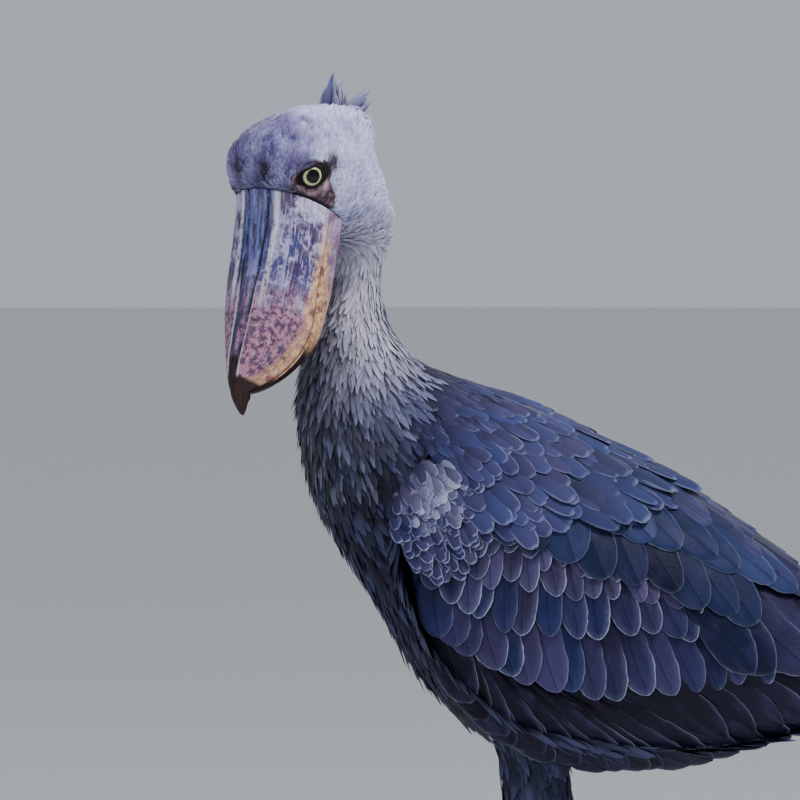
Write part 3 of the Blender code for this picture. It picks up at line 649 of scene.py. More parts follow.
# Regions of the skin.
FACE, BODY, LEG = 0, 1, 2

SKIN_VOXEL = 0.0032
FOOT_VOXEL = 0.0015
HEAD_END_ROW = 7.4


def mottle(points, size, seed=0.0):
    """Soft noise from -1 to 1 with blotches of about one size."""
    offset = Vector((seed, seed * 0.7, -seed))
    return np.array([noise.noise(Vector(p) / size + offset) for p in points.tolist()])


def mixed(first, second, share):
    """Two colours, or rows of colours, mixed by a share per row."""
    share = np.asarray(share, float)[..., None]
    return np.asarray(first) * (1 - share) + np.asarray(second) * share


# Skin

# How far from an eye's axis the orbit's floor is given, and its height above the eye's middle.
ORBIT_AWAY = (0.0, 0.0085, 0.0105, 0.017, 0.03)
ORBIT_FLOOR = (0.002, 0.004, 0.0070, 0.0085, 0.0125)

# Where along the body the depth of its coat is given, and that depth in millimetres.
COAT_ROWS = (0, 6, 8.5, 11, 13, 15, 17, 19.3)
COAT_DEPTHS = (1.6, 1.8, 3.5, 6, 8, 8, 6, 2.5)
FACE_COAT_DEPTH = 1.4


def bowl(points, side):
    """Draw the skin down around one eye into a shallow orbit."""
    axis, centre = eye_axis(side), eye_centre(side)
    offset = points - centre
    height = offset @ axis
    away = np.linalg.norm(offset - height[:, None] * axis, axis=1)
    near = (away < 0.034) & (height > -0.01)
    floor = np.interp(away, ORBIT_AWAY, ORBIT_FLOOR)
    share = (1 - smooth(away, 0.016, 0.030)) * near * (height > floor)
    return points + axis * ((floor - height) * share)[:, None]


def coat_depth(region, along, points):
    """How far the skin lies inside the outline that the feathers make."""
    body = np.interp(along, COAT_ROWS, COAT_DEPTHS)
    leg = np.interp(points[:, 2], (FEATHER_END_HEIGHT, 0.42, 0.55), (0.8, 3.0, 6.0))
    depth = np.where(region == FACE, FACE_COAT_DEPTH, np.where(region == BODY, body, leg))
    return depth * 1e-3


def flesh_lofts():
    """Each flesh loft's region, rings and how far along its rows they stand."""
    body_count, face_count, thigh_count = 130, 30, 44
    ats = np.linspace(0, SKIN_END_ROW, body_count)
    lofts = [(BODY, body_rings(ats, 64), ats)]
    face = face_rings(face_count, 48)
    lofts.append((FACE, face, np.linspace(0, 1, len(face))))
    for side, _ in SIDES:
        rings = thigh_rings(side, thigh_count, 36)
        lofts.append((LEG, rings, np.linspace(0, 1, thigh_count)))
    return lofts


def head_flow(points):
    """The lie of the head's feathers: back over the crown to the crest, and down the nape."""
    local = to_head(points)
    back = HEAD[:3, 1]
    down = np.array((0.0, 0.12, -1.0))
    past_crest = smooth(local[:, 1] - 0.35 * local[:, 2], 0.105, 0.135)
    to_neck = smooth(-points[:, 2], -1.085, -1.030) * smooth(local[:, 1], 0.02, 0.06)
    share = np.maximum(past_crest, to_neck)[:, None]
    flow = back * (1 - share) + down * share
    around = np.zeros_like(flow)
    for side, _ in SIDES:
        away = points - eye_centre(side)
        near = hump(np.linalg.norm(away, axis=1), 0.022)[:, None]
        around += unit(away) * near * 0.5
    return unit(flow + around)


def flesh_skin():
    """The lofts as one skin, and for each of its points the region, row, turn and lie there."""
    points, faces, source, regions, alongs, turns, lies = [], [], [], [], [], [], []
    for region, rings, along in flesh_lofts():
        mesh = loft_mesh("flesh", rings)
        start = sum(len(p) for p in points)
        points.append(np.array([v.co for v in mesh.vertices]) - SHIFT)
        faces += [[start + i for i in face.vertices] for face in mesh.polygons]
        bpy.data.meshes.remove(mesh)
        count, sides = rings.shape[:2]
        source.append(rings.reshape(-1, 3))
        regions.append(np.full(count * sides, region))
        alongs.append(np.repeat(along, sides))
        turns.append(np.tile(np.arange(sides) / sides, count))
        lies.append(unit(np.gradient(rings, axis=0)).reshape(-1, 3))
    skin = link("skin", new_mesh("skin", np.concatenate(points), faces))
    one_surface(skin, SKIN_VOXEL, 5)

    tree = KDTree(sum(len(s) for s in source))
    for index, point in enumerate(np.concatenate(source).tolist()):
        tree.insert(point, index)
    tree.balance()
    co = read_out(skin.data.vertices, "co", 3, np.float32).astype(float) - SHIFT
    found = np.array([tree.find(point)[1] for point in co.tolist()])
    region, along, turn, lie = (np.concatenate(rows)[found] for rows in (regions, alongs, turns, lies))
    return skin, co, region, along, turn, lie


def combed(lie, normals, edges):
    """The lie smoothed over its neighbours and kept flat on the skin."""
    for _ in range(14):
        total = lie.copy()
        for axis in range(3):
            total[:, axis] += np.bincount(edges[:, 0], lie[edges[:, 1], axis], len(lie))
            total[:, axis] += np.bincount(edges[:, 1], lie[edges[:, 0], axis], len(lie))
        total -= normals * (total * normals).sum(1)[:, None]
        lie = unit(total)
    return lie


def build_skin(finish):
    """One skin over head, neck, body and thighs, with the lie and the markings of its coat."""
    skin, co, region, along, turn, lie = flesh_skin()
    mesh = skin.data
    normals = read_out(mesh.vertices, "normal", 3, np.float32).astype(float)
    co = co - normals * coat_depth(region, along, co)[:, None]
    for side, _ in SIDES:
        co = bowl(co, side)
    mesh.vertices.foreach_set("co", (co + SHIFT).astype(np.float32).ravel())
    mesh.update()
    normals = read_out(mesh.vertices, "normal", 3, np.float32).astype(float)

    on_head = (region == FACE) | ((region == BODY) & (along < HEAD_END_ROW))
    ease = np.where(region == BODY, smooth(along, 6.2, 8.0), 0.0)[:, None] * ~on_head[:, None]
    flow = head_flow(co)
    lie = np.where(on_head[:, None], flow, lie)
    lie = np.where((ease > 0) & (ease < 1), unit(flow * (1 - ease) + lie * ease), lie)
    fields = {
        "points": co,
        "normals": normals,
        "region": region,
        "along": along,
        "turn": turn,
        "lie": combed(lie, normals, read_out(mesh.edges, "vertices", 2)),
        "tint": markings(co, normals, region, along),
    }
    attach_tint(mesh, fields["tint"])
    mesh.shade_smooth()
    mesh.materials.append(finish)
    return skin, fields


# Dark spots of painted shade on the face's left side, in the head's frame: place, reach and strength.
# They lie in the hollow of the forehead above the bill, behind the eye and along the bill's base.
HEAD_SHADE_SPOTS = (
    ((0.0165, 0.008, 0.072), (0.0065, 0.0105, 0.0110), 1.7),
    ((0.0490, 0.041, 0.018), (0.0120, 0.0075, 0.0080), 1.9),
    ((0.0440, 0.001, 0.046), (0.0140, 0.0022, 0.0140), 0.85),
    ((0.0540, 0.003, 0.016), (0.0080, 0.0030, 0.0160), 0.9),
)


def head_shade_spots(local):
    """How strongly the painted shade of the dark spots shows, a little fainter on the right side."""
    spots = np.zeros(len(local))
    for side, _ in SIDES:
        for place, size, share in HEAD_SHADE_SPOTS:
            away = np.linalg.norm((local - on_side(place, side)) / size, axis=1)
            spots = np.maximum(spots, share * (0.85 + 0.15 * side) * np.exp(-(away**2)))
    return spots


def markings(points, normals, region, along):
    """The colours of skin and small feathers, place by place."""
    fine = mottle(points, 0.005, 3.0)
    broad = mottle(points, 0.018, 9.0)
    local = to_head(points)
    forehead = smooth(local[:, 2], 0.020, 0.060) * (1 - smooth(local[:, 1], 0.055, 0.105))
    blue = np.clip(0.28 + 0.55 * forehead + 0.30 * broad + 0.20 * fine, 0, 1)
    head = mixed(HEAD_PALE, HEAD_BLUE, blue)
    strokes = mottle(local * np.array((1.0, 0.30, 1.0)), 0.0045, 5.0)
    plum = np.clip(forehead * (0.55 * mottle(local, 0.013, 2.0) + 0.38), 0, 0.75)
    head = mixed(head, HEAD_PLUM, plum)
    dark = np.clip(forehead * (0.10 + 0.7 * broad + 0.95 * strokes) + 0.40 * strokes, 0, 0.9)
    head = mixed(head, HEAD_DARK, dark)
    # Painted shade in the face's hollows, broken up by the strokes.
    head = mixed(head, PAINTED_SHADE, np.clip(head_shade_spots(local) * (1.0 + 1.1 * strokes), 0, 0.97))

    # The neck darkens toward its front: painted shade on the side turned from the light, over its own
    # mottled tone.
    front = smooth(-normals[:, 1], -0.35, 0.75)
    dusk = np.clip(0.12 + 0.75 * front * smooth(along, 6.5, 10.5) + 0.25 * broad, 0, 1)
    neck = mixed(NAPE, NECK_DARK, dusk)
    head = mixed(head, neck, smooth(along, 4.5, 8.5) * (region == BODY))

    breast = mixed(BREAST, BREAST_STREAK, np.clip(0.18 + 0.35 * broad + 0.2 * fine, 0, 1))
    torso = mixed(breast, MANTLE, smooth(normals[:, 2], 0.0, 0.6))
    body = mixed(neck, torso, smooth(along, 9.6, 13.4))
    under = smooth(-normals[:, 2], 0.1, 0.7) * smooth(along, 14.0, 15.5)
    body = mixed(body, BELLY, under)
    on_head = (region == FACE) | (along < 7.8) & (region == BODY)
    leg = mixed(THIGH, BREAST, np.clip(0.3 + 0.5 * broad + 0.3 * fine, 0, 1))
    colour = np.where(on_head[:, None], head, body)
    return np.where((region == LEG)[:, None], leg, colour)


# Small feathers

FEATHER_INPUTS = ("First Feather", "Second Feather", "Third Feather")
MEASURES = ("Spacing", "Unevenness", "Lift", "Ruffle")
BAKE_PATCH = 0.003


def small_feather(name, stations, halves, columns, camber, curl, ragged, seed):
    """One feather of unit length and width, rooted at the origin, along +Y and facing +Z."""
    draw = np.random.default_rng(seed).uniform
    stations, halves = np.asarray(stations, float), np.asarray(halves, float)
    offsets = np.linspace(-1, 1, columns)
    x = np.outer(halves, offsets) / 2
    y = np.repeat(stations[:, None], columns, axis=1)
    y[-1] += draw(-ragged, 0.2 * ragged, columns)
    y[-2] += draw(-0.4, 0.4, columns) * ragged
    z = camber * (1 - offsets[None] ** 2) * halves[:, None] - curl * stations[:, None] ** 2 - 0.02
    points = np.stack((x, y, z), axis=-1).reshape(-1, 3)
    mesh = bpy.data.meshes.new(name)
    faces = grid_faces(len(stations), columns)[:, ::-1]
    mesh.from_pydata(points.tolist(), [], faces.tolist())
    uv = np.stack(np.meshgrid((offsets + 1) / 2, stations / stations[-1], indexing="xy"), axis=-1)
    corner_uv(mesh, "vane", uv.reshape(-1, 2))
    mesh.shade_smooth()
    return link(name, mesh)


def coat_tree():
    """Nodes that scatter feathers over a bed, turn them to its lie and give each its bake patch."""
    tree = bpy.data.node_groups.new("coat of feathers", "GeometryNodeTree")

    def given_socket(label, kind, way="INPUT"):
        tree.interface.new_socket(label, in_out=way, socket_type="NodeSocket" + kind)

    given_socket("Bed", "Geometry")
    for label in FEATHER_INPUTS:
        given_socket(label, "Object")
    for label in (*MEASURES, "Patch"):
        given_socket(label, "Float")
    given_socket("Seed", "Int")
    given_socket("Finish", "Material")
    given_socket("Coat", "Geometry", "OUTPUT")

    def node(kind, settings=None, values=None):
        made = tree.nodes.new(kind)
        for key, value in (settings or {}).items():
            setattr(made, key, value)
        for key, value in (values or {}).items():
            if isinstance(value, bpy.types.NodeSocket):
                tree.links.new(value, made.inputs[key])
            else:
                made.inputs[key].default_value = value
        return made

    def named(name, kind="FLOAT"):
        settings = {"data_type": kind}
        return node("GeometryNodeInputNamedAttribute", settings, {"Name": name}).outputs[0]

    def vector(name):
        return named(name, "FLOAT_VECTOR")

    def maths(operation, first, second):
        settings = {"operation": operation}
        return node("ShaderNodeMath", settings, {0: first, 1: second}).outputs[0]

    def vector_maths(operation, values):
        return node("ShaderNodeVectorMath", {"operation": operation}, values).outputs[0]

    def chance(least, most, seed):
        values = {2: least, 3: most, "Seed": seed}
        return node("FunctionNodeRandomValue", {"data_type": "FLOAT"}, values).outputs[1]

    given = node("NodeGroupInput").outputs
    spacing, seed = given["Spacing"], given["Seed"]
    crowd = maths("DIVIDE", 2.5, maths("MULTIPLY", spacing, spacing))
    scatter = node(
        "GeometryNodeDistributePointsOnFaces",
        {"distribute_method": "POISSON"},
        {"Mesh": given["Bed"], "Distance Min": spacing, "Density Max": crowd,
         "Density Factor": named("share"), "Seed": seed},
    )
    feathers = node("GeometryNodeJoinGeometry")
    for label in reversed(FEATHER_INPUTS):
        info = node("GeometryNodeObjectInfo", None, {"Object": given[label], "As Instance": True})
        tree.links.new(info.outputs["Geometry"], feathers.inputs[0])
    axes = node(
        "FunctionNodeAxesToRotation",
        {"primary_axis": "Z", "secondary_axis": "Y"},
        {"Primary Axis": vector("out"), "Secondary Axis": vector("way")},
    )
    ruffle = given["Ruffle"]
    back = maths("MULTIPLY", ruffle, -1.0)
    rise = maths("ADD", given["Lift"], maths("MULTIPLY", chance(back, ruffle, 11), 0.5))
    angles = {0: rise, 1: chance(back, ruffle, 12), 2: chance(back, ruffle, 13)}
    turn = node("ShaderNodeCombineXYZ", None, angles)
    spin = node("FunctionNodeEulerToRotation", None, {0: turn.outputs[0]})
    whole = node(
        "FunctionNodeRotateRotation",
        {"rotation_space": "LOCAL"},
        {"Rotation": axes.outputs[0], "Rotate By": spin.outputs[0]},
    )
    uneven = given["Unevenness"]
    grow = chance(maths("SUBTRACT", 1.0, uneven), maths("ADD", 1.0, uneven), 14)
    size = vector_maths("SCALE", {0: vector("size"), "Scale": grow})
    which = node("FunctionNodeRandomValue", {"data_type": "INT"}, {4: 0, 5: 2, "Seed": 15})
    placed = node(
        "GeometryNodeInstanceOnPoints",
        None,
        {"Points": scatter.outputs["Points"], "Instance": feathers.outputs[0],
         "Pick Instance": True, "Instance Index": which.outputs[2],
         "Rotation": whole.outputs[0], "Scale": size},
    )
    toned = node(
        "GeometryNodeStoreNamedAttribute",
        {"data_type": "FLOAT", "domain": "INSTANCE"},
        {"Geometry": placed.outputs[0], "Name": "tone", "Value": chance(-1.0, 1.0, 16)},
    )
    real = node("GeometryNodeRealizeInstances", None, {0: toned.outputs[0]})
    centred = vector_maths("SUBTRACT", {0: vector("vane"), 1: (0.5, 0.5, 0.0)})
    small = vector_maths("SCALE", {0: centred, "Scale": given["Patch"]})
    spot = vector_maths("ADD", {0: vector("place"), 1: small})
    mapped = node(
        "GeometryNodeStoreNamedAttribute",
        {"data_type": "FLOAT2", "domain": "CORNER"},
        {"Geometry": real.outputs[0], "Name": "OFBake", "Value": spot},
    )
    worn = node(
        "GeometryNodeSetMaterial",
        None,
        {"Geometry": mapped.outputs[0], "Material": given["Finish"]},
    )
    node("NodeGroupOutput", None, {"Coat": worn.outputs[0]})
    return tree


def filling(at):
    """Places in a bake map, stretched to fill it."""
    least, most = at.min(0), at.max(0)
    return 0.004 + 0.992 * (at - least) / (most - least)


def feather_bed(name, points, quads, share, width, length, way, out, tint, place):
    """A surface that a coat grows from, with the coat's measures on it."""
    bed = new_mesh(name, points, quads)
    attach(bed, "share", share)
    attach(bed, "size", np.stack((width, length, width), axis=1))
    attach(bed, "way", way)
    attach(bed, "out", out)
    attach_tint(bed, tint)
    attach(bed, "place", filling(place.reshape(-1, 2)), "CORNER")
    return bed


def bed_of(name, skin, fields, share, width, length, place):
    """The part of the skin that one coat grows from."""
    mesh = skin.data
    corners = read_out(mesh.loops, "vertex_index")
    starts = read_out(mesh.polygons, "loop_start")
    totals = read_out(mesh.polygons, "loop_total")
    quads = corners[starts[totals == 4][:, None] + np.arange(4)]
    quads = quads[share[quads].max(1) > 0]
    used, again = np.unique(quads.ravel(), return_inverse=True)
    quads = again.reshape(-1, 4)
    at = place[used][quads]
    seam = at[..., 0] - at[..., 0].min(1, keepdims=True) > 0.5
    at[..., 0] -= seam
    points, way, out, tint = (fields[key][used] for key in ("points", "lie", "normals", "tint"))
    return feather_bed(
        name, points, quads, share[used], width[used], length[used], way, out, tint, at
    )


def envelope_bed(name, alongs, rounds, lift, share, width, length, tint, drift):
    """A bed for small feathers over a stretch of the folded wings and the back between them."""
    along, round_ = (grid.ravel() for grid in np.meshgrid(alongs, rounds, indexing="ij"))
    points, slope_a, slope_r, normal = wing_surface(along, round_, lift(along, round_))
    quads = grid_faces(len(alongs), len(rounds))
    way = unit(slope_a + slope_r * (np.sign(round_) * drift)[:, None])
    wide, long = width(along, round_), length(along, round_)
    colour = tint(along, round_, points)
    place = np.stack((round_, along), axis=1)[quads]
    cover = share(along, round_)
    return feather_bed(name, points, quads, cover, wide, long, way, normal, colour, place)


def grow_coat(name, tree, bed, finish, feathers, measures, seed):
    """One coat of feathers as a plain mesh."""
    coat = link(name, bed)
    modifier = coat.modifiers.new("coat", "NODES")
    modifier.node_group = tree
    values = dict(zip(FEATHER_INPUTS + MEASURES, (*feathers, *measures)))
    values.update({"Patch": BAKE_PATCH, "Seed": seed, "Finish": finish})
    for item in tree.interface.items_tree:
        if item.in_out == "INPUT" and item.name in values:
            modifier[item.identifier] = values[item.name]
    settled(coat)
    for spare in ("share", "size", "way", "out", "place"):
        if spare in coat.data.attributes:
            coat.data.attributes.remove(coat.data.attributes[spare])
    patches = coat.data.attributes["OFBake"].data
    at = read_out(patches, "vector", 2, np.float32)
    patches.foreach_set("vector", filling(at).ravel())
    coat.data.name = name
    return dress(coat, "head_plumage" if "head" in name else "body_plumage")


# Feather finishes

SHAFT_COLOUR = (0.004, 0.004, 0.009)


def feather_lay(finish):
    """A feather's tint and tone, and how far across, along and off the shaft a point lies."""
    tint, tone = finish.held("tint", "Color"), finish.held("tone")
    across, along, _ = finish.lay("vane")
    return tint, tone, across, along, finish.size(across * 2.0 - 1.0)


def small_feather_finish(name, tip, streak=None, streaky=0.0, sheen=0.0, fringe=0.0):
    """Short body feathers: their own tint, darker at the root, frayed and paler at the tip."""
    finish = Finish(name, roughness=0.72, specular=0.18)
    finish.constant("Sheen Weight", sheen)
    tint, tone, _, along, off = feather_lay(finish)
    slant = finish.joined(along * 9.0 - off * 2.2, off * 1.4, tone * 7.0)
    barb = finish.grain(slant, 2.6, 2.0, 0.6)
    rooted = 0.62 + finish.step(along, 0.05, 0.75) * 0.45
    finish.shade = finish.scaled(tint, rooted * (0.80 + barb * 0.42) * (1.0 + tone * 0.20))
    if streak:
        some = finish.step(tone, 0.0, 0.9) * streaky
        finish.paint(streak, some * finish.step(along, 0.1, 0.7))
    frayed = finish.step(along, 0.72, 1.0) * tip
    finish.paint((1.0, 1.0, 1.0), frayed, "SOFT_LIGHT")
    if fringe:
        sides = finish.step(off, 0.74, 0.96)
        edge = finish.math("MAXIMUM", sides, finish.step(along, 0.90, 0.99))
        chance = finish.math("FRACT", tone * 5.7 + 2.0)
        strength = finish.step(along, 0.30, 0.8) * (0.3 + chance * 0.7) * fringe
        finish.paint(FRINGE, edge * strength)
    return finish.done(0.62 + barb * 0.25, barb, strength=0.5)


def vane_finish(name, fringe, fringe_width, gloss):
    """Large feathers: fine barbs slanting from a shaft, and a thin pale fringe round the tip."""
    finish = Finish(name, roughness=gloss, specular=0.12)
    tint, tone, across, along, off = feather_lay(finish)
    rim = finish.held("rim")
    slant = finish.joined(along * 60.0 - off * 9.0, off * 1.5, tone * 9.0)
    barb = finish.grain(slant, 1.0, 3.0, 0.65)
    wash = finish.grain(finish.joined(along * 3.0, across * 2.0, tone * 5.0), 1.3, 2.0)
    rooted = 0.50 + finish.step(along, 0.15, 0.95) * 0.62
    light = rooted * (0.66 + barb * 0.66) * (0.62 + wash * 0.76)
    finish.shade = finish.scaled(tint, light * (1.0 + tone * 0.25))
    finish.paint(COVERT_WARM, finish.step(wash, 0.50, 0.72) * 0.3)
    chance = finish.math("FRACT", tone * 7.31 + 3.0)
    torn = finish.joined(along * 16.0, across * 8.0, tone * 3.0)
    broken = finish.grain(torn, 1.0, 3.0) * 1.5 - 0.1
    strength = (0.20 + chance * 0.80) * finish.step(along, 0.40, 0.86) * broken * fringe
    halo = finish.drop(rim, 0.0, fringe_width * 5.0)
    finish.paint(FRINGE, halo * strength * 0.16)
    edge = finish.drop(rim, fringe_width * 0.2, fringe_width)
    finish.paint(FRINGE, edge * strength)
    shaft = finish.drop(off, 0.010, 0.04)
    finish.paint(SHAFT_COLOUR, shaft * 0.6)
    return finish.done(gloss - 0.10 + barb * 0.22, barb * 0.7 + shaft * 0.8)


# Large feathers: where their grid's lines run across and along, from the shaft and the root.
OFFSETS = np.array((-1.0, -0.74, -0.42, -0.05, 0.0, 0.05, 0.42, 0.74, 1.0))
TIP_BEND = 0.74
TIP_STEPS = np.sin(np.linspace(0, pi / 2, 9)[1:])
STEPS = np.concatenate((np.linspace(0, TIP_BEND, 9), TIP_BEND + 0.26 * TIP_STEPS))
VANE_THICKNESS = 0.0004


def outline(root, tip_start, bluntness):
    """Half width along a feather, as a share of its greatest."""
    swell = root + (1 - root) * smooth(STEPS, 0.0, 0.42)
    past = np.clip((STEPS - tip_start) / (1 - tip_start), 0, 1)
    return np.maximum(swell * np.clip(1 - past**2, 0, 1) ** bluntness, 0.025)


class Vanes:
    """Large feathers gathered into one piece."""

    def __init__(self):
        self.grids, self.tints, self.tones, self.rims = [], [], [], []

    def add(self, grid, half, length, tint, tone):
        """One feather: its grid of points, half widths, length, colour and tone."""
        side = half[:, None] * (1 - np.abs(OFFSETS))[None]
        end = (1 - STEPS)[:, None] * length * np.ones_like(side)
        self.grids.append(grid)
        self.rims.append(np.minimum(side, end))
        self.tints.append(np.asarray(tint, float))
        self.tones.append(tone)

    def mirror(self):
        """Turn the left side's feathers into the right side's."""
        for grid in self.grids:
            grid[..., 0] *= -1
        self.grids = [grid[:, ::-1] for grid in self.grids]

    def piece(self, name, finish, thickness=VANE_THICKNESS):
        """The feathers as one mesh, with the maps and values that their finish reads."""
        grids = np.array(self.grids)
        count, rows, columns = grids.shape[:3]
        size = rows * columns
        quads = np.concatenate([grid_faces(rows, columns, i * size) for i in range(count)])
        mesh = new_mesh(name, grids.reshape(-1, 3), quads)
        u = np.tile((OFFSETS + 1) / 2, (count, rows, 1))
        v = np.tile(STEPS[None, :, None], (count, 1, columns))
        corner_uv(mesh, "vane", np.stack((u, v), axis=-1).reshape(-1, 2))
        cells = ceil(sqrt(count))
        index = np.arange(count)[:, None, None]
        bake_u = (index % cells + 0.05 + 0.9 * u) / cells
        bake_v = (index // cells + 0.05 + 0.9 * v) / cells
        corner_uv(mesh, "OFBake", np.stack((bake_u, bake_v), axis=-1).reshape(-1, 2))
        attach_tint(mesh, np.repeat(np.array(self.tints), size, axis=0))
        attach(mesh, "tone", np.repeat(self.tones, size))
        attach(mesh, "rim", np.array(self.rims).ravel())
        mesh.shade_smooth()
        made = link(name, mesh, finish)
        if thickness:
            solid = made.modifiers.new("thickness", "SOLIDIFY")
            solid.thickness = thickness
            solid.offset = -1.0
            settled(made)
        return made


def nearest_places(target, at):
    """The places (along, round) of the envelope nearest to the given points."""
    for _ in range(3):
        point, slope_a, slope_r, _ = wing_surface(at[:, 0], at[:, 1])
        lie = np.stack((slope_a, slope_r), axis=2)
        metric = np.einsum("nki,nkj->nij", lie, lie) + np.eye(2) * 1e-9
        pull = np.einsum("nki,nk->ni", lie, target - point)[..., None]
        at = at + np.linalg.solve(metric, pull)[..., 0]
    return at


def wing_vane(vanes, root, tip, width, lifts, bow, tint, draw, form, tilt=0.0018, camber=0.0009):
    """A feather that runs straight over the wing's envelope between two places (along, round)."""
    dense = np.linspace(0, 1, 24)[:, None]
    trail = np.array(root) * (1 - dense) + np.array(tip) * dense
    points, _, _, normal = wing_surface(trail[:, 0], trail[:, 1])
    chord = points[-1] - points[0]
    sideways = np.cross(normal[len(dense) // 2], chord)
    bowed = points[0] + chord * dense - sideways * np.sin(dense * pi) * bow
    trail = nearest_places(bowed, trail)
    points = wing_surface(trail[:, 0], trail[:, 1])[0]
    gone = np.concatenate(((0.0,), np.cumsum(np.linalg.norm(np.diff(points, axis=0), axis=1))))
    length = gone[-1]
    places = np.stack([np.interp(STEPS * length, gone, line) for line in trail.T], axis=1)
    points, _, _, normal = wing_surface(places[:, 0], places[:, 1])
    across = unit(np.cross(normal, np.gradient(points, axis=0)))
    half = outline(*form) * width / 2
    wave = draw(-0.05, 0.05, (len(STEPS), 2))
    ragged = 1 + np.where(np.abs(OFFSETS) > 0.9, wave[:, (OFFSETS > 0).astype(int)], 0.0)
    reach = half[:, None] * OFFSETS * ragged
    target = points[:, None] + across[:, None] * reach[..., None]
    at = nearest_places(target.reshape(-1, 3), np.repeat(places, len(OFFSETS), axis=0))
    lift = np.interp(STEPS, (0.0, 0.36, 0.8, 1.0), lifts)
    shaft = 0.0003 * (OFFSETS == 0.0)
    height = lift[:, None] + tilt * OFFSETS + camber * (1 - OFFSETS**2) + shaft
    grid = wing_surface(at[:, 0], at[:, 1], height.ravel())[0]
    grid = grid.reshape(len(STEPS), len(OFFSETS), 3)
    vanes.add(grid, half, length, tint, draw(-1, 1))


def tier(first_tip, last_tip, arch, first_way, last_way, count):
    """Roots and tips of one row of feathers, front to back."""
    for index in range(count):
        part = index / max(count - 1, 1)
        tip = np.array(first_tip) * (1 - part) + np.array(last_tip) * part
        tip[1] += arch * sin(pi * part)
        way = np.array(first_way) * (1 - part) + np.array(last_way) * part
        yield tip - way, tip


# A feather's outline: how wide its root is, where its tip starts, and how blunt it ends.
LONG, ROUND, BROAD = (0.55, 0.72, 0.75), (0.50, 0.66, 0.55), (0.60, 0.62, 0.50)
TUFT = (0.75, 0.20, 1.0)

# The wing's tiers from the lowest: first and last tip, how far the tip line bows out, first
# and last run from root to tip, number, width, level, colour and outline.
FLIGHT_TIERS = (
    ((0.86, 1.12), (1.00, 0.72), 0.02, (0.34, 0.18), (0.36, 0.06), 9, 0.029, -1.2, FLIGHT, LONG),
    ((0.37, 1.66), (0.84, 1.30), 0.22, (0.15, 0.32), (0.30, 0.44), 17, 0.040, 0.0, FLIGHT, BROAD),
    ((0.72, 1.20), (0.92, 0.82), 0.00, (0.26, 0.30), (0.34, 0.14), 8, 0.036, 0.8, FLIGHT, LONG),
)
COVERT_TIERS = (
    ((0.27, 1.46), (0.70, 0.87), 0.00, (0.10, 0.32), (0.14, 0.25), 16, 0.037, 1.0, COVERT, ROUND),
    ((0.21, 1.28), (0.62, 0.72), -0.02, (0.07, 0.28), (0.11, 0.21), 15, 0.029, 1.9, COVERT, ROUND),
    ((0.17, 1.17), (0.53, 0.70), -0.02, (0.06, 0.22), (0.09, 0.18), 15, 0.024, 2.4, COVERT_WARM, ROUND),
    ((0.135, 1.08), (0.45, 0.69), -0.01, (0.05, 0.18), (0.08, 0.15), 15, 0.021, 2.8, COVERT_WARM, ROUND),
    ((0.11, 0.99), (0.38, 0.68), 0.0, (0.045, 0.16), (0.07, 0.13), 14, 0.019, 3.2, COVERT_WARM, ROUND),
)
SCAPULAR_TIERS = (
    ((0.66, 0.86), (0.90, 0.50), 0.00, (0.20, 0.32), (0.30, 0.12), 7, 0.044, 3.0, TERTIAL, LONG),
    ((0.25, 0.88), (0.62, 0.62), -0.03, (0.10, 0.32), (0.18, 0.28), 9, 0.046, 4.0, SCAPULAR, BROAD),
    ((0.33, 0.60), (0.64, 0.36), 0.00, (0.13, 0.17), (0.22, 0.13), 8, 0.040, 5.0, SCAPULAR, BROAD),
)


def lay_tiers(tiers, draw):
    """The tiers of one wing as gathered feathers."""
    vanes = Vanes()
    for *layout, width, level, tint, form in tiers:
        base = level * TIER_STEP - CORE_DEPTH / 2
        for root, tip in tier(*layout):
            tip = tip + draw((-0.009, -0.024), (0.009, 0.024))
            stack = base + draw(0, 0.0003)
            lifts = (stack - 0.0065, stack - 0.0004, stack + 0.0004, stack + 0.0014)
            other = BACK_DARK if tint == SCAPULAR else COVERT_WARM
            most = 0.25 if tint == FLIGHT else 0.85
            hue = mixed(tint, other, draw(0, most)) * draw(0.75, 1.2)
            if tint == SCAPULAR:
                # Upper scapulars lighter, lower ones darker: painted light from above over their tint;
                # the rear ones darker too.
                lit_from_above = 1.25 - 0.78 * smooth(tip[1], 0.38, 0.76)
                hue = hue * lit_from_above * (1 - 0.42 * smooth(tip[0], 0.35, 0.72))
            broad = width * draw(0.92, 1.12)
            wing_vane(vanes, root, tip, broad, lifts, draw(0.035, 0.05), hue, draw, form)
    return vanes


# The wing's own thickness: where along it the edges are given, and how far round they lie.
BED_KEYS = (0.075, 0.20, 0.45, 0.70, 0.85, 0.96)
BED_UPPER = (0.62, 0.34, 0.20, 0.08, 0.08, 0.20)
BED_LOWER = (1.18, 1.48, 1.46, 1.36, 1.08, 0.90)


def wing_bed(side, name, finish):
    """The wing's own thickness under its feathers."""
    rows, columns = 40, 30
    alongs = np.linspace(BED_KEYS[0], BED_KEYS[-1], rows)
    upper = np.interp(alongs, BED_KEYS, BED_UPPER)
    lower = np.interp(alongs, BED_KEYS, BED_LOWER)
    edge = np.sin(np.linspace(0, pi, columns)) ** 0.5
    grid = []
    for along, top, bottom in zip(alongs, upper, lower):
        rounds = np.linspace(top, bottom, columns)
        row = wing_surface(np.full(columns, along), rounds, -CORE_DEPTH + 0.003 * edge)[0]
        grid.append(row)
    points = on_side(grid, side).reshape(-1, 3)
    mesh = new_mesh("wing_bed", points, grid_faces(rows, columns)[:, ::side])
    attach_tint(mesh, np.tile(COVERT, (len(points), 1)))
    mesh.shade_smooth()
    return link("wing_bed_" + name, mesh, finish)


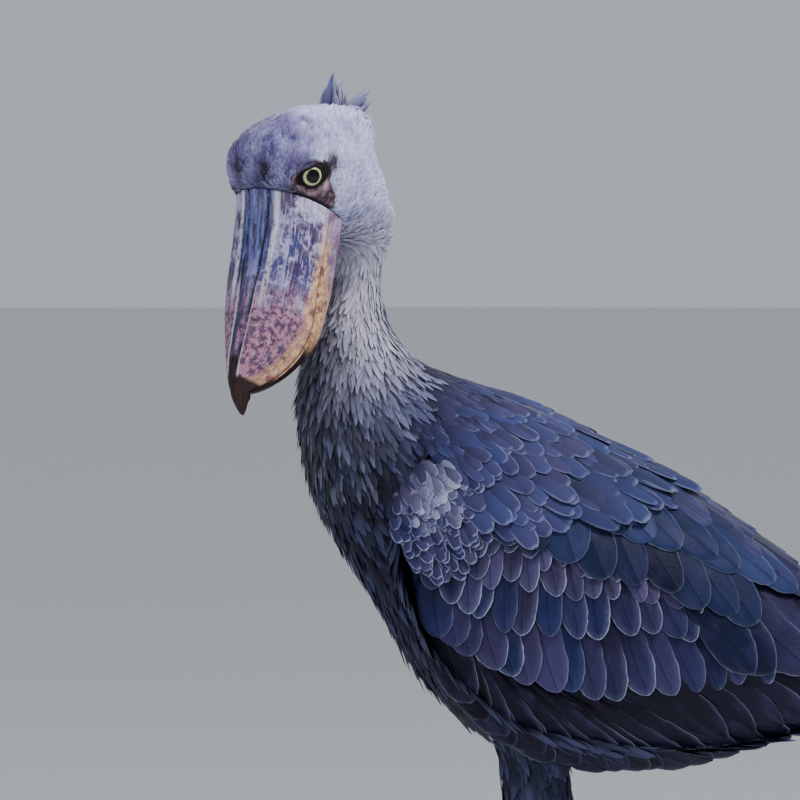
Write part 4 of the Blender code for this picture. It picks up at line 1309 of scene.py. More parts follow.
def build_wings(finish_dark, finish_covert, finish_smooth, bed_finish):
    """Both folded wings: flight feathers, coverts, scapulars and tertials."""
    for side, name in SIDES:
        draw = np.random.default_rng(21 + side).uniform
        groups = (
            ("flight_feathers_", FLIGHT_TIERS, finish_dark),
            ("coverts_", COVERT_TIERS, finish_covert),
            ("scapulars_", SCAPULAR_TIERS, finish_smooth),
        )
        for label, tiers, finish in groups:
            vanes = lay_tiers(tiers, draw)
            if side < 0:
                vanes.mirror()
            dress(vanes.piece(label + name, finish), "flight_feathers", "wing_" + name)
        dress(wing_bed(side, name, bed_finish), "flight_feathers", "wing_" + name)


def build_back(finish):
    """Rows of long feathers over the back, behind the shoulders."""
    first, last, overlap = 0.20, 1.04, 0.46
    keys = (0.2, 0.5, 0.86)
    level_keys = (-0.05, 0.0, 0.1, 0.35, 0.5, 0.9)
    levels = (0.001, 0.003, 0.009, 0.0150, 0.0150, 0.006)
    draw = np.random.default_rng(5).uniform
    vanes = Vanes()
    along = first
    row = 0
    while along < last:
        reach = np.interp(along, (0.22, 0.45, 0.86, 1.0), (0.58, 0.34, 0.34, 0.50))
        width = np.interp(along, keys, (0.026, 0.032, 0.032))
        length = np.interp(along, keys, (0.080, 0.120, 0.150))
        half = wing_place(np.array([along]), np.array([0.5]))[0, 0] / 0.5
        step = overlap * width / max(half * 1.35, 0.02)
        rounds = np.arange(-reach, reach + 1e-6, step) + (row % 2) * step / 2
        lift = np.interp(along, level_keys, levels)
        for place in rounds:
            tip = np.array((along + 0.02, place)) + draw((-0.026, -0.02), (0.026, 0.02))
            root = tip - np.array((length, place * 0.18))
            stack = lift + draw(0, 0.0006)
            lifts = (stack - 0.006, stack - 0.0006, stack + 0.0004, stack + 0.0012)
            tint = mixed(MANTLE, BACK_DARK, draw(0.2, 0.8)) * draw(0.82, 1.12)
            tint = mixed(tint, SCAPULAR, smooth(along, 0.15, 0.35) * draw(0, 0.4))
            tint = mixed(tint, COVERT_WARM, 0.35 * smooth(along, 0.25, 0.60))
            tint = tint * (1 - 0.22 * smooth(along, 0.30, 0.70))
            tilt = 0.0011 if place > 0 else -0.0011
            broad = width * draw(0.85, 1.15)
            wing_vane(vanes, root, tip, broad, lifts, 0.0, tint, draw, ROUND, tilt, 0.0012)
        along += np.interp(along, (0.2, 0.5), (0.044, 0.070))
        row += 1
    dress(vanes.piece("back_feathers", finish), "body_plumage")


def free_vane(vanes, line, width, facing, form, tint, draw, camber=0.0015):
    """A feather along a line of points through the air, facing one way."""
    line = drawn_out(line, STEPS)
    way = unit(np.gradient(line, axis=0))
    across = unit(np.cross(way, facing))
    normal = np.cross(across, way)
    half = outline(*form) * width / 2
    ragged = draw(-0.06, 0.06, (len(STEPS), len(OFFSETS))) * (np.abs(OFFSETS) > 0.9)
    reach = half[:, None] * OFFSETS * (1 + ragged)
    grid = line[:, None] + across[:, None] * reach[..., None]
    grid = grid + normal[:, None] * (camber * (1 - OFFSETS**2))[None, :, None]
    length = np.linalg.norm(np.diff(line, axis=0), axis=1).sum()
    vanes.add(grid, half, length, tint, draw(-1, 1))


def tail_line(turn, length, rise):
    """The middle line of one tail feather."""
    start = body_rings([TAIL_ROW], 4)[0].mean(0) + np.array((0.0, 0.020, -0.017))
    slope = radians(TAIL_SLOPE)
    line = []
    for s in np.linspace(-0.05, 1, 6):
        reach = length * s + 0.02
        x = sin(turn) * (reach + 0.020)
        y = cos(turn) * cos(slope) * reach
        z = cos(turn) * sin(slope) * reach + rise[0] * (1 - s) + rise[1] * s
        line.append(start + np.array((x, y, z - 2.2 * x * x)))
    return np.array(line)


# Layers of tail coverts: how high they lie at root and tip, their length and their width.
TAIL_COVERTS = (
    ((0.024, 0.010), 0.150, 0.026),
    ((0.030, 0.016), 0.125, 0.028),
    ((0.037, 0.024), 0.105, 0.030),
    ((0.045, 0.032), 0.085, 0.030),
    ((0.053, 0.040), 0.065, 0.030),
    ((-0.012, -0.006), 0.150, 0.026),
    ((-0.018, -0.010), 0.120, 0.026),
    ((-0.024, -0.014), 0.090, 0.024),
)


def build_tail(finish):
    """Twelve tail feathers, with coverts above and below."""
    draw = np.random.default_rng(8).uniform
    vanes = Vanes()
    up = (0.0, -sin(radians(TAIL_SLOPE)), cos(radians(TAIL_SLOPE)))
    last = TAIL_FEATHERS - 1
    for index in range(TAIL_FEATHERS):
        spread = (index - last / 2) / (TAIL_FEATHERS / 2)
        turn = radians(TAIL_FAN) * spread
        level = 0.0013 * min(index, last - index) + 0.0004 * (index % 2)
        length = TAIL_LENGTH * (1 - 0.05 * abs(spread)) * draw(0.99, 1.01)
        tint = np.array(FLIGHT) * draw(0.9, 1.25)
        free_vane(vanes, tail_line(turn, length, (level, level)), 0.028, up, BROAD, tint, draw)
    for rise, length, width in TAIL_COVERTS:
        for index in range(7):
            turn = radians(TAIL_COVERT_FAN) * (index - 3) / 3 + draw(-0.02, 0.02)
            level = 0.0006 * (index % 2)
            long = length * draw(0.93, 1.05)
            line = tail_line(turn, long, (rise[0] + level, rise[1] + level))
            dark = BACK_DARK if rise[0] > 0 else FLIGHT
            tint = mixed(dark, COVERT_WARM, draw(0.2, 0.8))
            free_vane(vanes, line, width, up, BROAD, tint, draw)
    dress(vanes.piece("tail_feathers", finish), "flight_feathers", "tail")


def build_crest(finish):
    """The crest at the back of the crown: an upright tuft and a longer one that sweeps back."""
    draw = np.random.default_rng(4).uniform
    vanes = Vanes()
    facing = HEAD[:3, :3] @ np.array((0.0, 0.45, 0.9))
    for root, way, reach in CREST_TUFTS:
        for index in range(26):
            spread = draw(-0.5, 0.5)
            shift = (spread * 0.026, draw(-0.006, 0.004), draw(-0.007, 0.007))
            start = np.array(root) + np.array(shift)
            stray = 0.05 + 0.25 * (index % 5 == 0)
            fanned = np.array(way) - np.array((spread * 0.12, 0, 0))
            heading = unit(fanned + draw(-stray, stray, 3))
            length = reach * (1.0 - 1.1 * abs(spread)) * draw(0.80, 1.05)
            bend = np.array((-spread * 0.25, -0.04, -0.06)) * length
            line = [
                start + heading * length * s + bend * max(s, 0) ** 2
                for s in np.linspace(-0.25, 1, 5)
            ]
            tint = mixed(HEAD_BLUE, NAPE, draw(0, 0.7)) * draw(0.6, 1.0)
            turned = unit(facing + draw(-0.5, 0.5, 3))
            width = draw(0.0050, 0.0085)
            free_vane(vanes, from_head(line), width, turned, TUFT, tint, draw, 0.0007)
    dress(vanes.piece("crest", finish, thickness=0.0), "head_plumage", "head")


# Bill

# Its colours, as they show in soft daylight.
HORN_GREY, HORN_PALE = srgb(142, 136, 186), srgb(206, 202, 228)
HORN_BLUE, HORN_PLUM = srgb(46, 47, 108), srgb(62, 32, 80)
PINK, PINK_DARK, PINK_PALE = srgb(172, 116, 140), srgb(74, 36, 70), srgb(212, 182, 190)
SCRATCH_DARK, SCRATCH_PALE = srgb(30, 32, 82), srgb(226, 222, 238)
STRAW_DULL, STRAW, STRAW_BROWN = srgb(176, 118, 92), srgb(224, 184, 142), srgb(92, 52, 50)
STRAW_PINK, EDGE_BROWN = srgb(214, 184, 176), srgb(40, 30, 34)
LOWER_MAUVE = srgb(150, 108, 134)
RIDGE_BLUE, RIDGE_DARK, RIDGE_TIP = srgb(106, 116, 182), srgb(30, 26, 70), srgb(58, 56, 92)
GROOVE_DARK, GROOVE_PALE, RIDGE_HIGHLIGHT = srgb(16, 16, 46), srgb(222, 216, 232), srgb(216, 206, 226)
NAIL_DARK, NAIL_WORN = srgb(12, 5, 8), srgb(64, 26, 32)
MOUTH_DARK = srgb(20, 16, 18)


def lower_bill_marks(finish, straw, along, rim, grains):
    """The straw and mauve of the lower bill, and where its dark tip is."""
    _, spots, blotch, _, _ = grains
    edge = finish.drop(rim + (blotch - 0.5) * 0.022 - along * 0.010, 0.004, 0.012)
    finish.paint(LOWER_MAUVE, 0.55)
    finish.paint(straw, edge * finish.step(along, 0.06, 0.26) * 0.9)
    patches = finish.step(along + (spots - 0.5) * 0.2, 0.24, 0.46)
    finish.paint(straw, patches * 0.75)
    wedge = finish.step(along + (blotch - 0.5) * 0.10, 0.63, 0.74)
    dark = wedge * finish.step(rim, 0.0012, 0.0032)
    return finish.math("MAXIMUM", dark, finish.step(along, 0.86, 0.93))


def upper_bill_marks(finish, straw, along, rim, grains):
    """The worn edge, ridge and grooves of the upper bill, and where its dark nail is."""
    step, drop, paint = finish.step, finish.drop, finish.paint
    fine, spots, blotch, streak, scratch = grains
    groove = finish.held("groove")
    edge = drop(rim + (blotch - 0.5) * 0.016 - along * 0.016, 0.0010, 0.0085)
    pinkish = finish.mix(STRAW_PINK, straw, step(along, 0.10, 0.34))
    worn = 0.5 + step(spots * 0.6 + fine * 0.4, 0.38, 0.56) * 0.45
    paint(pinkish, edge * step(along, -0.04, 0.12) * worn)
    ridge = drop(groove, -0.0012, 0.0004)
    drawn = step(scratch * 0.6 + streak * 0.5, 0.47, 0.60)
    lines = finish.mix(RIDGE_BLUE, RIDGE_DARK, drawn)
    paint(lines, ridge * drop(along, 0.30, 0.5) * 0.8)
    ridge_tip = ridge * step(along, 0.30, 0.5)
    paint(RIDGE_TIP, ridge_tip * step(streak, 0.35, 0.6))
    beside = step(groove, -0.001, 0.001) * drop(groove, 0.004, 0.0085)
    paint(lines, beside * drop(along, 0.30, 0.48) * 0.9)
    deep = drop(finish.size(groove), 0.0004, 0.0026)
    paint(GROOVE_DARK, deep * step(streak + blotch, 0.80, 1.05) * 0.95)
    pale = drop(finish.size(groove - 0.0105), 0.0008, 0.0042)
    pale = pale * step(streak * 0.5 + spots * 0.5, 0.38, 0.54)
    paint(GROOVE_PALE, pale * drop(along, 0.42, 0.60) * 0.85)
    # Painted highlight on the outer side of each groove, toward the tip.
    crest = drop(finish.size(groove - 0.0020), 0.0003, 0.0014)
    paint(RIDGE_HIGHLIGHT, crest * step(along, 0.34, 0.5) * 0.75)
    brown = drop(rim, 0.0004, 0.0018) * step(along, 0.2, 0.5)
    paint(EDGE_BROWN, brown * 0.8)
    dark = step(along + (spots - 0.5) * 0.03, 0.755, 0.785) * ridge
    nail = step(along + (spots - 0.5) * 0.02, 0.845, 0.868)
    return finish.math("MAXIMUM", dark, nail)


def bill_finish(name, marks):
    """Worn horn: streaks and blotches along its length, straw at the edges, a dark nail."""
    finish = Finish(name, roughness=0.42, coat=0.08, specular=0.24)
    step, mix, paint, grain = finish.step, finish.mix, finish.paint, finish.grain
    across, along, _ = finish.lay("lay")
    place = finish.place()
    rim = finish.held("rim")
    fine = grain(place, 300.0, 4.0, 0.65)
    spots = grain(place, 190.0, 4.0, 0.65)
    blotch = grain(place, 82.0, 5.0, 0.65)
    turned = finish.stretched(place, (1, 1, 1), (0.6, 1.1, 0.2))
    other = grain(turned, 60.0, 4.0, 0.6)
    streak = grain(finish.joined(across * 30.0, along * 4.0, 0.0), 1.0, 4.0, 0.62)
    scratch = grain(finish.joined(across * 80.0, along * 9.0, 3.0), 1.0, 3.0, 0.6)

    tipward = step(along + (blotch - 0.5) * 0.25, 0.36, 0.56)
    finish.shade = mix(HORN_GREY, HORN_PALE, step(streak * 0.6 + fine * 0.4, 0.40, 0.62))
    blue = step(blotch * 0.6 + streak * 0.5, 0.49, 0.60)
    bluest = blue * (1.0 - tipward * 0.7) * step(along, 0.04, 0.16)
    paint(HORN_BLUE, bluest * 0.95)
    paint(HORN_PLUM, step(other, 0.48, 0.58) * 0.85)
    pink = mix(PINK, PINK_DARK, step(spots, 0.42, 0.57))
    pale = step(other * 0.5 + fine * 0.5, 0.54, 0.64)
    pink = mix(pink, PINK_PALE, pale * 0.7)
    paint(pink, tipward * 0.9)
    dull = step(scratch * 0.6 + spots * 0.5, 0.60, 0.72)
    paint(SCRATCH_DARK, dull * 0.7)
    bright = step(scratch, 0.54, 0.66) * (1.0 - tipward * 0.6)
    paint(SCRATCH_PALE, bright * 0.5)
    straw = mix(STRAW_DULL, STRAW, step(spots, 0.38, 0.6))
    straw = mix(straw, STRAW_BROWN, step(other, 0.52, 0.62) * 0.8)
    dark = marks(finish, straw, along, rim, (fine, spots, blotch, streak, scratch))
    nail = mix(NAIL_DARK, NAIL_WORN, step(streak, 0.42, 0.66))
    paint(nail, dark)
    mouth = finish.drop(rim, 0.0002, 0.0009) * step(along, 0.0, 0.04)
    paint(MOUTH_DARK, mouth * 0.85)
    relief = fine * 0.35 + scratch * 0.5 + streak * 0.4 - blue * 0.15
    return finish.done(0.40 + fine * 0.26 - dark * 0.14, relief, 0.0008)


# How many points of each ring lie on the inside of a half of the bill, and how wide they reach.
BILL_INNER = 15
BILL_INNER_REACH = 0.9
LOWER_BILL_LENGTH = 0.1915


def bill_ring(length, x, z, inner, inner_z):
    """One ring of a half of the bill: its outside from edge to edge, and back inside."""
    xs = np.concatenate((x, inner))
    return np.stack((xs, np.full(len(xs), -length), np.concatenate((z, inner_z))), axis=1)


def horn_piece(name, rings, along, values, finish):
    """A closed shell of horn from rings, with the lay and the values that its finish reads."""
    mesh = loft_mesh(name, from_head(rings))
    count, sides = rings.shape[:2]
    outside, inside = np.linspace(0, 1, sides - BILL_INNER), np.linspace(1, 0, BILL_INNER)
    across = np.tile(np.concatenate((outside, inside)), (count, 1))
    lay = np.stack((across, np.repeat(along[:, None], sides, 1)), axis=-1).reshape(-1, 2)
    ends = np.array(((0.5, along[0]), (0.5, along[-1])))
    corner_uv(mesh, "lay", np.concatenate((lay, ends)))
    for key, field in values.items():
        field = np.pad(field, ((0, 0), (0, BILL_INNER)))
        field = np.concatenate((field.ravel(), field[[0, -1]].mean(1)))
        attach(mesh, key, field)
    return link(name, mesh, finish)


def build_upper_bill(finish):
    """The upper bill, with the culmen's ridge, its grooves, the swollen edge and the hook."""
    ridge_rise, groove_depth, shoulder_rise, lip_swell = 0.0017, 0.0015, 0.0006, 0.0013
    lengths = np.concatenate((np.linspace(0.0, 0.19, 110), np.linspace(0.1915, 0.213, 22)))
    table = [row[:4] for row in BILL_ROWS] + list(HOOK_ROWS)
    stations = blend([-row[0] for row in table], [row[1:] for row in table], lengths)
    edges = np.interp(lengths, (0.0, 0.075, 0.165, 0.19), (0.0128, 0.0100, 0.0055, 0.0035))
    fade = 1 - smooth(lengths, 0.165, 0.19)
    sine, cosine = rounded(np.radians(np.linspace(-90, 90, 97)), 2.25)
    rings, rims, grooves = [], [], []
    for length, (width, top, mouth), edge, held in zip(lengths, stations, edges, fade):
        x = width * sine
        z = mouth + (top - mouth) * np.clip(cosine, 0, None)
        past = np.abs(x) - edge
        ridge = ridge_rise * (1 - smooth(np.abs(x) / edge, 0.5, 1.0))
        z = z + held * (ridge - groove_depth * hump(past, 0.0010))
        z = z + held * shoulder_rise * hump(past - 0.0042, 0.0026)
        above = z - mouth
        swell = lip_swell * hump(above - 0.0040, 0.0030) * smooth(length, 0.0, 0.03) * held
        x = x + np.sign(x) * swell
        inner = np.linspace(BILL_INNER_REACH, -BILL_INNER_REACH, BILL_INNER) * width
        arch = 0.0020 * held * (1 - (inner / max(width, 1e-6)) ** 2)
        rings.append(bill_ring(length, x, z, inner, mouth + arch))
        rims.append(above)
        grooves.append(past)
    rings = np.array(rings)
    places = rings.reshape(-1, 3) * np.array((160, 30, 160))
    uneven = np.array([noise.noise(Vector(p)) for p in places]).reshape(rings.shape[:2])
    rings = rings + (rings - rings.mean(1, keepdims=True)) * 0.006 * uneven[..., None]
    values = {"rim": rims, "groove": grooves}
    upper = horn_piece("bill_top", rings, lengths / lengths[-1], values, finish)
    dress(upper, "horn", "bill_upper")


def build_lower_bill(finish):
    """The lower bill, with its swollen edge and a keel that sags in the middle."""
    clearance, sag, lip_swell = 0.0003, 0.005, 0.0011
    lengths = np.linspace(0.0, LOWER_BILL_LENGTH, 90)
    rows = blend([-row[0] for row in BILL_ROWS], BILL_ROWS, lengths)
    sine, cosine = rounded(np.radians(np.linspace(90, 270, 61)), 2.7)
    rings, rims = [], []
    for length, (_, width, _, mouth, keel) in zip(lengths, rows):
        width = max(width - 0.0008, 0.002)
        keel -= sag * sin(pi * min(length / 0.15, 1.0)) ** 2
        rim = mouth - clearance
        x = width * sine
        z = rim + (rim - keel) * np.clip(cosine, -1, 0)
        below = rim - z
        swell = lip_swell * hump(below - 0.0035, 0.0030) * min(1.0, width / 0.02)
        x = x + np.sign(x) * swell
        inner = np.linspace(-BILL_INNER_REACH, BILL_INNER_REACH, BILL_INNER) * width
        rings.append(bill_ring(length, x, z, inner, np.full(BILL_INNER, rim)))
        rims.append(below)
    along = lengths / LOWER_BILL_LENGTH
    lower = horn_piece("bill_bottom", np.array(rings), along, {"rim": rims}, finish)
    dress(lower, "horn", "bill_lower")


# Eyes

IRIS_STRAW, IRIS_PALE = srgb(162, 170, 118), srgb(228, 232, 182)
IRIS_SHADED, IRIS_RING, IRIS_EDGE = srgb(112, 122, 92), srgb(118, 126, 88), srgb(96, 104, 84)
EYE_BLACK, PUPIL_BLACK = (0.006, 0.005, 0.006), (0.002, 0.002, 0.003)


def eye_finish():
    """Pale straw iris with fine spokes, shaded under the brow, a black pupil, a wet surface."""
    finish = Finish("wet eye", roughness=0.10, coat=0.34, specular=0.08)
    finish.constant("Coat Roughness", 0.02)
    around, away, _ = finish.lay("iris")
    turned = around * (2 * pi)
    cosine, sine = finish.math("COSINE", turned), finish.math("SINE", turned)
    spokes = finish.grain(finish.joined(cosine * 9.0, sine * 9.0, away * 1.5), 1.6, 3.0, 0.6)
    finish.shade = finish.mix(IRIS_STRAW, IRIS_PALE, spokes)
    _, _, height = finish.parts(finish.place())
    # Painted shade of the brow over the top of the iris.
    middle = eye_centre(1)[2] + SHIFT[2]
    brow = finish.step(height, middle + 0.001, middle + 0.009)
    finish.paint(IRIS_SHADED, brow * 0.65)
    radius = away * EYE_RADIUS
    finish.paint(IRIS_EDGE, finish.step(radius, 0.0093, 0.0104))
    finish.paint(IRIS_RING, finish.drop(radius, 0.0070, 0.0079) * 0.8)
    finish.paint(EYE_BLACK, finish.step(radius, IRIS_RADIUS, 0.0109))
    iris = finish.step(radius, PUPIL_RADIUS - 0.0002, PUPIL_RADIUS + 0.0002)
    finish.shade = finish.mix(PUPIL_BLACK, finish.shade, iris)
    return finish.done()


def eye_frame(side):
    """Axis, forward and upward directions of one eye."""
    axis = eye_axis(side)
    bill = -HEAD[:3, 1]
    fore = unit(bill - axis * (bill @ axis))
    above = unit(np.cross(fore, axis) * side)
    return axis, fore, above


def build_eyes(finish):
    """Eyeballs with a bulged cornea over the iris."""
    sides, cornea_rise = 64, 0.0008
    polar = np.concatenate((np.linspace(0.02, 0.85, 34), np.linspace(0.95, pi - 0.02, 16)))
    angles = round_angles(sides)
    away = EYE_RADIUS * np.sin(polar)
    cornea = np.clip(1 - (away / IRIS_RADIUS) ** 2, 0, 1) ** 1.5 * (polar < 1.5)
    height = EYE_RADIUS * np.cos(polar) + cornea_rise * cornea
    seen = np.where(polar < pi / 2, away / EYE_RADIUS, 1.0)
    turn = np.tile(angles / (2 * pi), (len(polar), 1))
    lay = np.stack((turn, np.repeat(seen[:, None], sides, 1)), -1).reshape(-1, 2)
    for side, name in SIDES:
        axis, fore, above = eye_frame(side)
        out = np.cos(angles)[:, None] * fore + np.sin(angles)[:, None] * above
        rings = eye_centre(side) + away[:, None, None] * out[None] + height[:, None, None] * axis
        mesh = loft_mesh("eyeball", rings)
        corner_uv(mesh, "iris", np.concatenate((lay, ((0.5, 0.0), (0.5, 1.0)))))
        dress(link("eyeball_" + name, mesh, finish), "eye", "eye_" + name)


def gone_round(side, target):
    """The angle about one eye at which a place of the head's left side lies."""
    _, fore, above = eye_frame(side)
    offset = from_head(on_side(target, side)) - eye_centre(side)
    return atan2(offset @ above, offset @ fore)


def turned_by(angle, start):
    """How far an angle is turned from another, between half a turn back and half a turn on."""
    return (angle - start + pi) % (2 * pi) - pi


def bare_reach(side, angle):
    """How far the bare skin round an eye reaches, by the angle about the eye."""

    def toward(target, spread):
        return hump(turned_by(angle, gone_round(side, target)), spread)

    gape, lores = toward(GAPE_AT, 0.42), toward(LORES_AT, 0.72)
    behind, corner = toward(BEHIND_EYE_AT, 0.60), toward(EYE_CORNER_AT, 0.60)
    ragged = 0.0006 * np.sin(angle * 9.0) + 0.0004 * np.sin(angle * 23.0 + 1.0)
    return 0.0141 + 0.0234 * gape + 0.0152 * lores + 0.0094 * behind + 0.0096 * corner + ragged


def bare_share(points):
    """1 where the skin round an eye carries no feathers."""
    share = np.zeros(len(points))
    for side, _ in SIDES:
        axis, fore, above = eye_frame(side)
        offset = points - eye_centre(side)
        x, y, height = offset @ fore, offset @ above, offset @ axis
        spare = np.hypot(x, y) - bare_reach(side, np.arctan2(y, x))
        inside = 1 - smooth(spare, -0.0022, 0.0006)
        share = np.maximum(share, inside * (height > -0.02))
    return share


def bare_skin_finish():
    """Naked wrinkled skin: blackish at the lids, brown and pink toward the gape."""
    finish = Finish("bare skin", roughness=0.55, specular=0.16)
    place = finish.place()
    fine = finish.grain(place, 700.0, 4.0, 0.7)
    folds = finish.cells(finish.stretched(place, (1.0, 1.0, 1.6)), 520.0, "DISTANCE_TO_EDGE")
    wash = finish.grain(place, 150.0, 3.0)
    dusk = finish.step(wash, 0.50, 0.68) * 0.45
    finish.shade = finish.mix(finish.held("tint", "Color"), srgb(36, 28, 34), dusk)
    finish.paint(srgb(190, 160, 170), finish.step(fine, 0.55, 0.75) * 0.18)
    relief = finish.step(folds, 0.0, 0.25) * 0.6 + fine * 0.4
    return finish.done(0.42 + fine * 0.3, relief, 0.0004, 0.8)


# The lids: how far from the eye's axis they open, and where the brow's hood hangs over them.
LID_OPENING = 0.0101
HOOD_DROP = 0.0021
HOOD_ANGLE = 2.3
HOOD_SPREAD = 0.68
# Where round the eye the painted highlight on the swelling below it lies.
SWELL_ANGLE = -1.45

SKIN_BROWN, SKIN_PINK, SKIN_HIGHLIGHT = srgb(56, 42, 52), srgb(120, 94, 106), srgb(196, 164, 176)
SWELL_HIGHLIGHT, HOOD_BLUE = srgb(210, 186, 200), srgb(96, 92, 132)
BEHIND_EYE_SHADE, LID_BLACK = srgb(26, 20, 28), srgb(9, 8, 10)


def bare_skin_tint(side, local, away, angles, hood, brow):
    """The colours of one ring of the bare skin, from black lids to pink and brown, with painted light
    and shade.
    """
    behind = hump(turned_by(angles, gone_round(side, BEHIND_EYE_AT)), 0.62)
    corner = hump(turned_by(angles, gone_round(side, EYE_CORNER_AT)), 0.35)
    inner = 0.0122 - 0.0028 * hood + 0.0070 * behind + 0.0045 * corner
    outer = inner + 0.0011 + 0.0008 * hood + 0.0025 * behind + 0.0050 * corner
    warm = mixed(SKIN_BROWN, SKIN_PINK, smooth(mottle(local, 0.0035, 4.0), -0.25, 0.3))
    # Painted highlight in a band below the eye, fading toward the brow.
    warm = mixed(warm, SKIN_HIGHLIGHT, hump(away - 0.0172, 0.0018) * (1 - brow) * 0.3)
    # Painted highlight on the swelling below the eye.
    below = turned_by(angles, SWELL_ANGLE) / 0.30
    swell = np.exp(-(((away - 0.0190) / 0.0030) ** 2) - below**2)
    warm = mixed(warm, SWELL_HIGHLIGHT, swell * 0.8)
    warm = mixed(warm, HOOD_BLUE, np.clip(1.6 * hood, 0, 1) * 0.85)
    # Painted shade behind the eye.
    warm = mixed(warm, BEHIND_EYE_SHADE, behind * 0.8)
    # Painted shade along the bill's base, where skin meets horn.
    warm = mixed(warm, PAINTED_SHADE, (1 - smooth(local[:, 1], 0.0015, 0.0055)) * 0.9)
    return mixed(warm, LID_BLACK, 1 - smooth(away, inner, outer))


def build_eye_skin(skin_tree, finish):
    """Lids, the brow's hood and the bare skin round each eye, laid over the ball and the skin."""
    sides = 120
    angles = round_angles(sides)
    hood = hump(turned_by(angles, HOOD_ANGLE), HOOD_SPREAD)
    brow = 0.5 + 0.5 * np.sin(angles - 0.5)
    opening = LID_OPENING - HOOD_DROP * hood
    steps = np.linspace(0, 1, 34) ** 1.25
    for side, name in SIDES:
        axis, fore, above = eye_frame(side)
        centre = eye_centre(side)
        reach = bare_reach(side, angles)
        out = np.cos(angles)[:, None] * fore * 1.03 + np.sin(angles)[:, None] * above
        rings, tints = [], []
        for step in steps:
            away = opening + (reach + 0.0015 - opening) * step
            flat = centre + out * away[:, None]
            ball = np.sqrt(np.clip(EYE_RADIUS**2 - away**2, 0, None)) + 0.0004
            ground = ball.copy()
            for index, point in enumerate(flat):
                hit = skin_tree.ray_cast(Vector(point + axis * 0.06), Vector(-axis), 0.09)[0]
                if hit is not None:
                    ground[index] = (np.array(hit) - centre) @ axis
            lid = 0.0019 * hump(away - opening - 0.0015, 0.0012)
            fold = (0.0007 + 0.0007 * brow) * hump(away - 0.0148, 0.0010)
            waves = np.sin(away * 2 * pi / 0.0021 + np.sin(angles * 3) * 0.8)
            crease = 0.00022 * waves * smooth(away, 0.015, 0.019)
            edge = 1 - smooth(step, 0.86, 1.0)
            raised = lid + fold + crease + 0.0006 * edge
            height = np.maximum(ball, ground) + raised - 0.0010 * (1 - edge)
            rings.append(flat + axis * height[:, None])
            tints.append(bare_skin_tint(side, to_head(rings[-1]), away, angles, hood, brow))
        faces = grid_faces(len(steps), sides, closed=True)
        points = np.array(rings).reshape(-1, 3)
        mesh = new_mesh("bare skin", points, faces if side < 0 else faces[:, ::-1])
        attach_tint(mesh, np.array(tints).reshape(-1, 3))
        mesh.shade_smooth()
        dress(link("lids_and_bare_skin_" + name, mesh, finish), "head_plumage", "head")


# Legs and feet


def leg_finish(name):
    """Dull dark skin set with small many-sided scales."""
    finish = Finish(name, roughness=0.6, specular=0.35)
    place = finish.place()
    squashed = finish.stretched(place, (1.0, 1.0, 0.75))
    plates = finish.cells(squashed, 330.0, "DISTANCE_TO_EDGE")
    tone, _, _ = finish.parts(finish.cells(squashed, 330.0, output="Color"))
    dust = finish.grain(place, 60.0, 4.0)
    raised = finish.step(plates, 0.0, 0.22)
    finish.shade = finish.mix(srgb(40, 40, 46), srgb(84, 84, 92), raised * (0.35 + tone * 0.5))
    finish.paint(srgb(118, 108, 100), finish.step(dust, 0.52, 0.75) * 0.3)
    return finish.done(0.72 - raised * 0.2, raised + dust * 0.2, strength=0.8)


def claw_finish():
    """Blackish horn with fine paler lines."""
    finish = Finish("claw horn", roughness=0.4, coat=0.15)
    lines = finish.grain(finish.place(), 220.0, 3.0)
    finish.shade = finish.mix(srgb(26, 24, 27), srgb(74, 68, 66), finish.step(lines, 0.45, 0.75))
    return finish.done(height=lines, distance=0.0004, strength=0.5)


def shank_rings(side):
    """Bare lower leg, ankle and tarsus."""
    x, r = side * LEG_APART / 2, SHANK_RADIUS
    rows = stepped((
        (x, 0.011, FEATHER_END_HEIGHT + 0.012, r * 0.95, r),
        (x, 0.020, 0.320, r * 0.95, r * 1.05),
        (x, 0.027, 0.285, r * 1.15, r * 1.35),
        (x, ANKLE_BACK, ANKLE_HEIGHT, r * 1.60, r * 1.90),
        (x, 0.027, 0.238, r * 1.25, r * 1.45),
        (x, 0.021, 0.200, r * 0.92, r * 1.10),
        (x, 0.013, 0.120, r * 0.88, r * 1.05),
        (x, 0.006, 0.060, r * 0.98, r * 1.15),
        (x, 0.003, 0.028, r * 1.20, r * 1.30),
    ), side)
    keys = [0, 0.15, 0.27, 0.35, 0.43, 0.55, 0.78, 0.92, 1.0]
    rings = level_rings(blend(keys, rows, np.linspace(0, 1, 150)), 40)
    heights = rings[:, 0, 2]
    middle = rings.mean(1, keepdims=True)
    at_ankle = hump(heights - ANKLE_HEIGHT, 0.03)
    folds = 1 + 0.035 * np.sin(heights * 2 * pi / 0.0052) * at_ankle
    folds = folds + 0.012 * np.sin(heights * 2 * pi / 0.0078)
    return middle + (rings - middle) * folds[:, None, None]


def toe_frame(angle, side):
    """The way one toe points, and the way across it."""
    turn = radians(angle * side)
    way = np.array((sin(turn), -cos(turn), 0.0))
    return way, np.array((cos(turn), sin(turn), 0.0))


def toe_rings(toe, side, centre):
    """One toe with its pads, up to the root of its claw."""
    length, angle, claw = toe
    way, across = toe_frame(angle, side)
    angles = round_angles(24)
    ring = np.outer(np.sin(angles), across) + np.outer(np.cos(angles), (0, 0, 1))
    rings = []
    for s in np.linspace(0, 1.02, 56):
        pads = 0.10 * cos(s * 6 * pi)
        knuckle = 1 + pads + 0.012 * cos(s * length * 2 * pi / 0.0045)
        radius = TOE_RADIUS * (1.05 - 0.32 * s) * knuckle * (1 - 0.35 * smooth(s, 0.95, 1.02))
        height = radius * 0.82 + 0.007 * (1 - s) ** 3
        middle = centre + way * (length - claw) * s + np.array((0, 0, height))
        rings.append(middle + ring * radius)
    return np.array(rings)


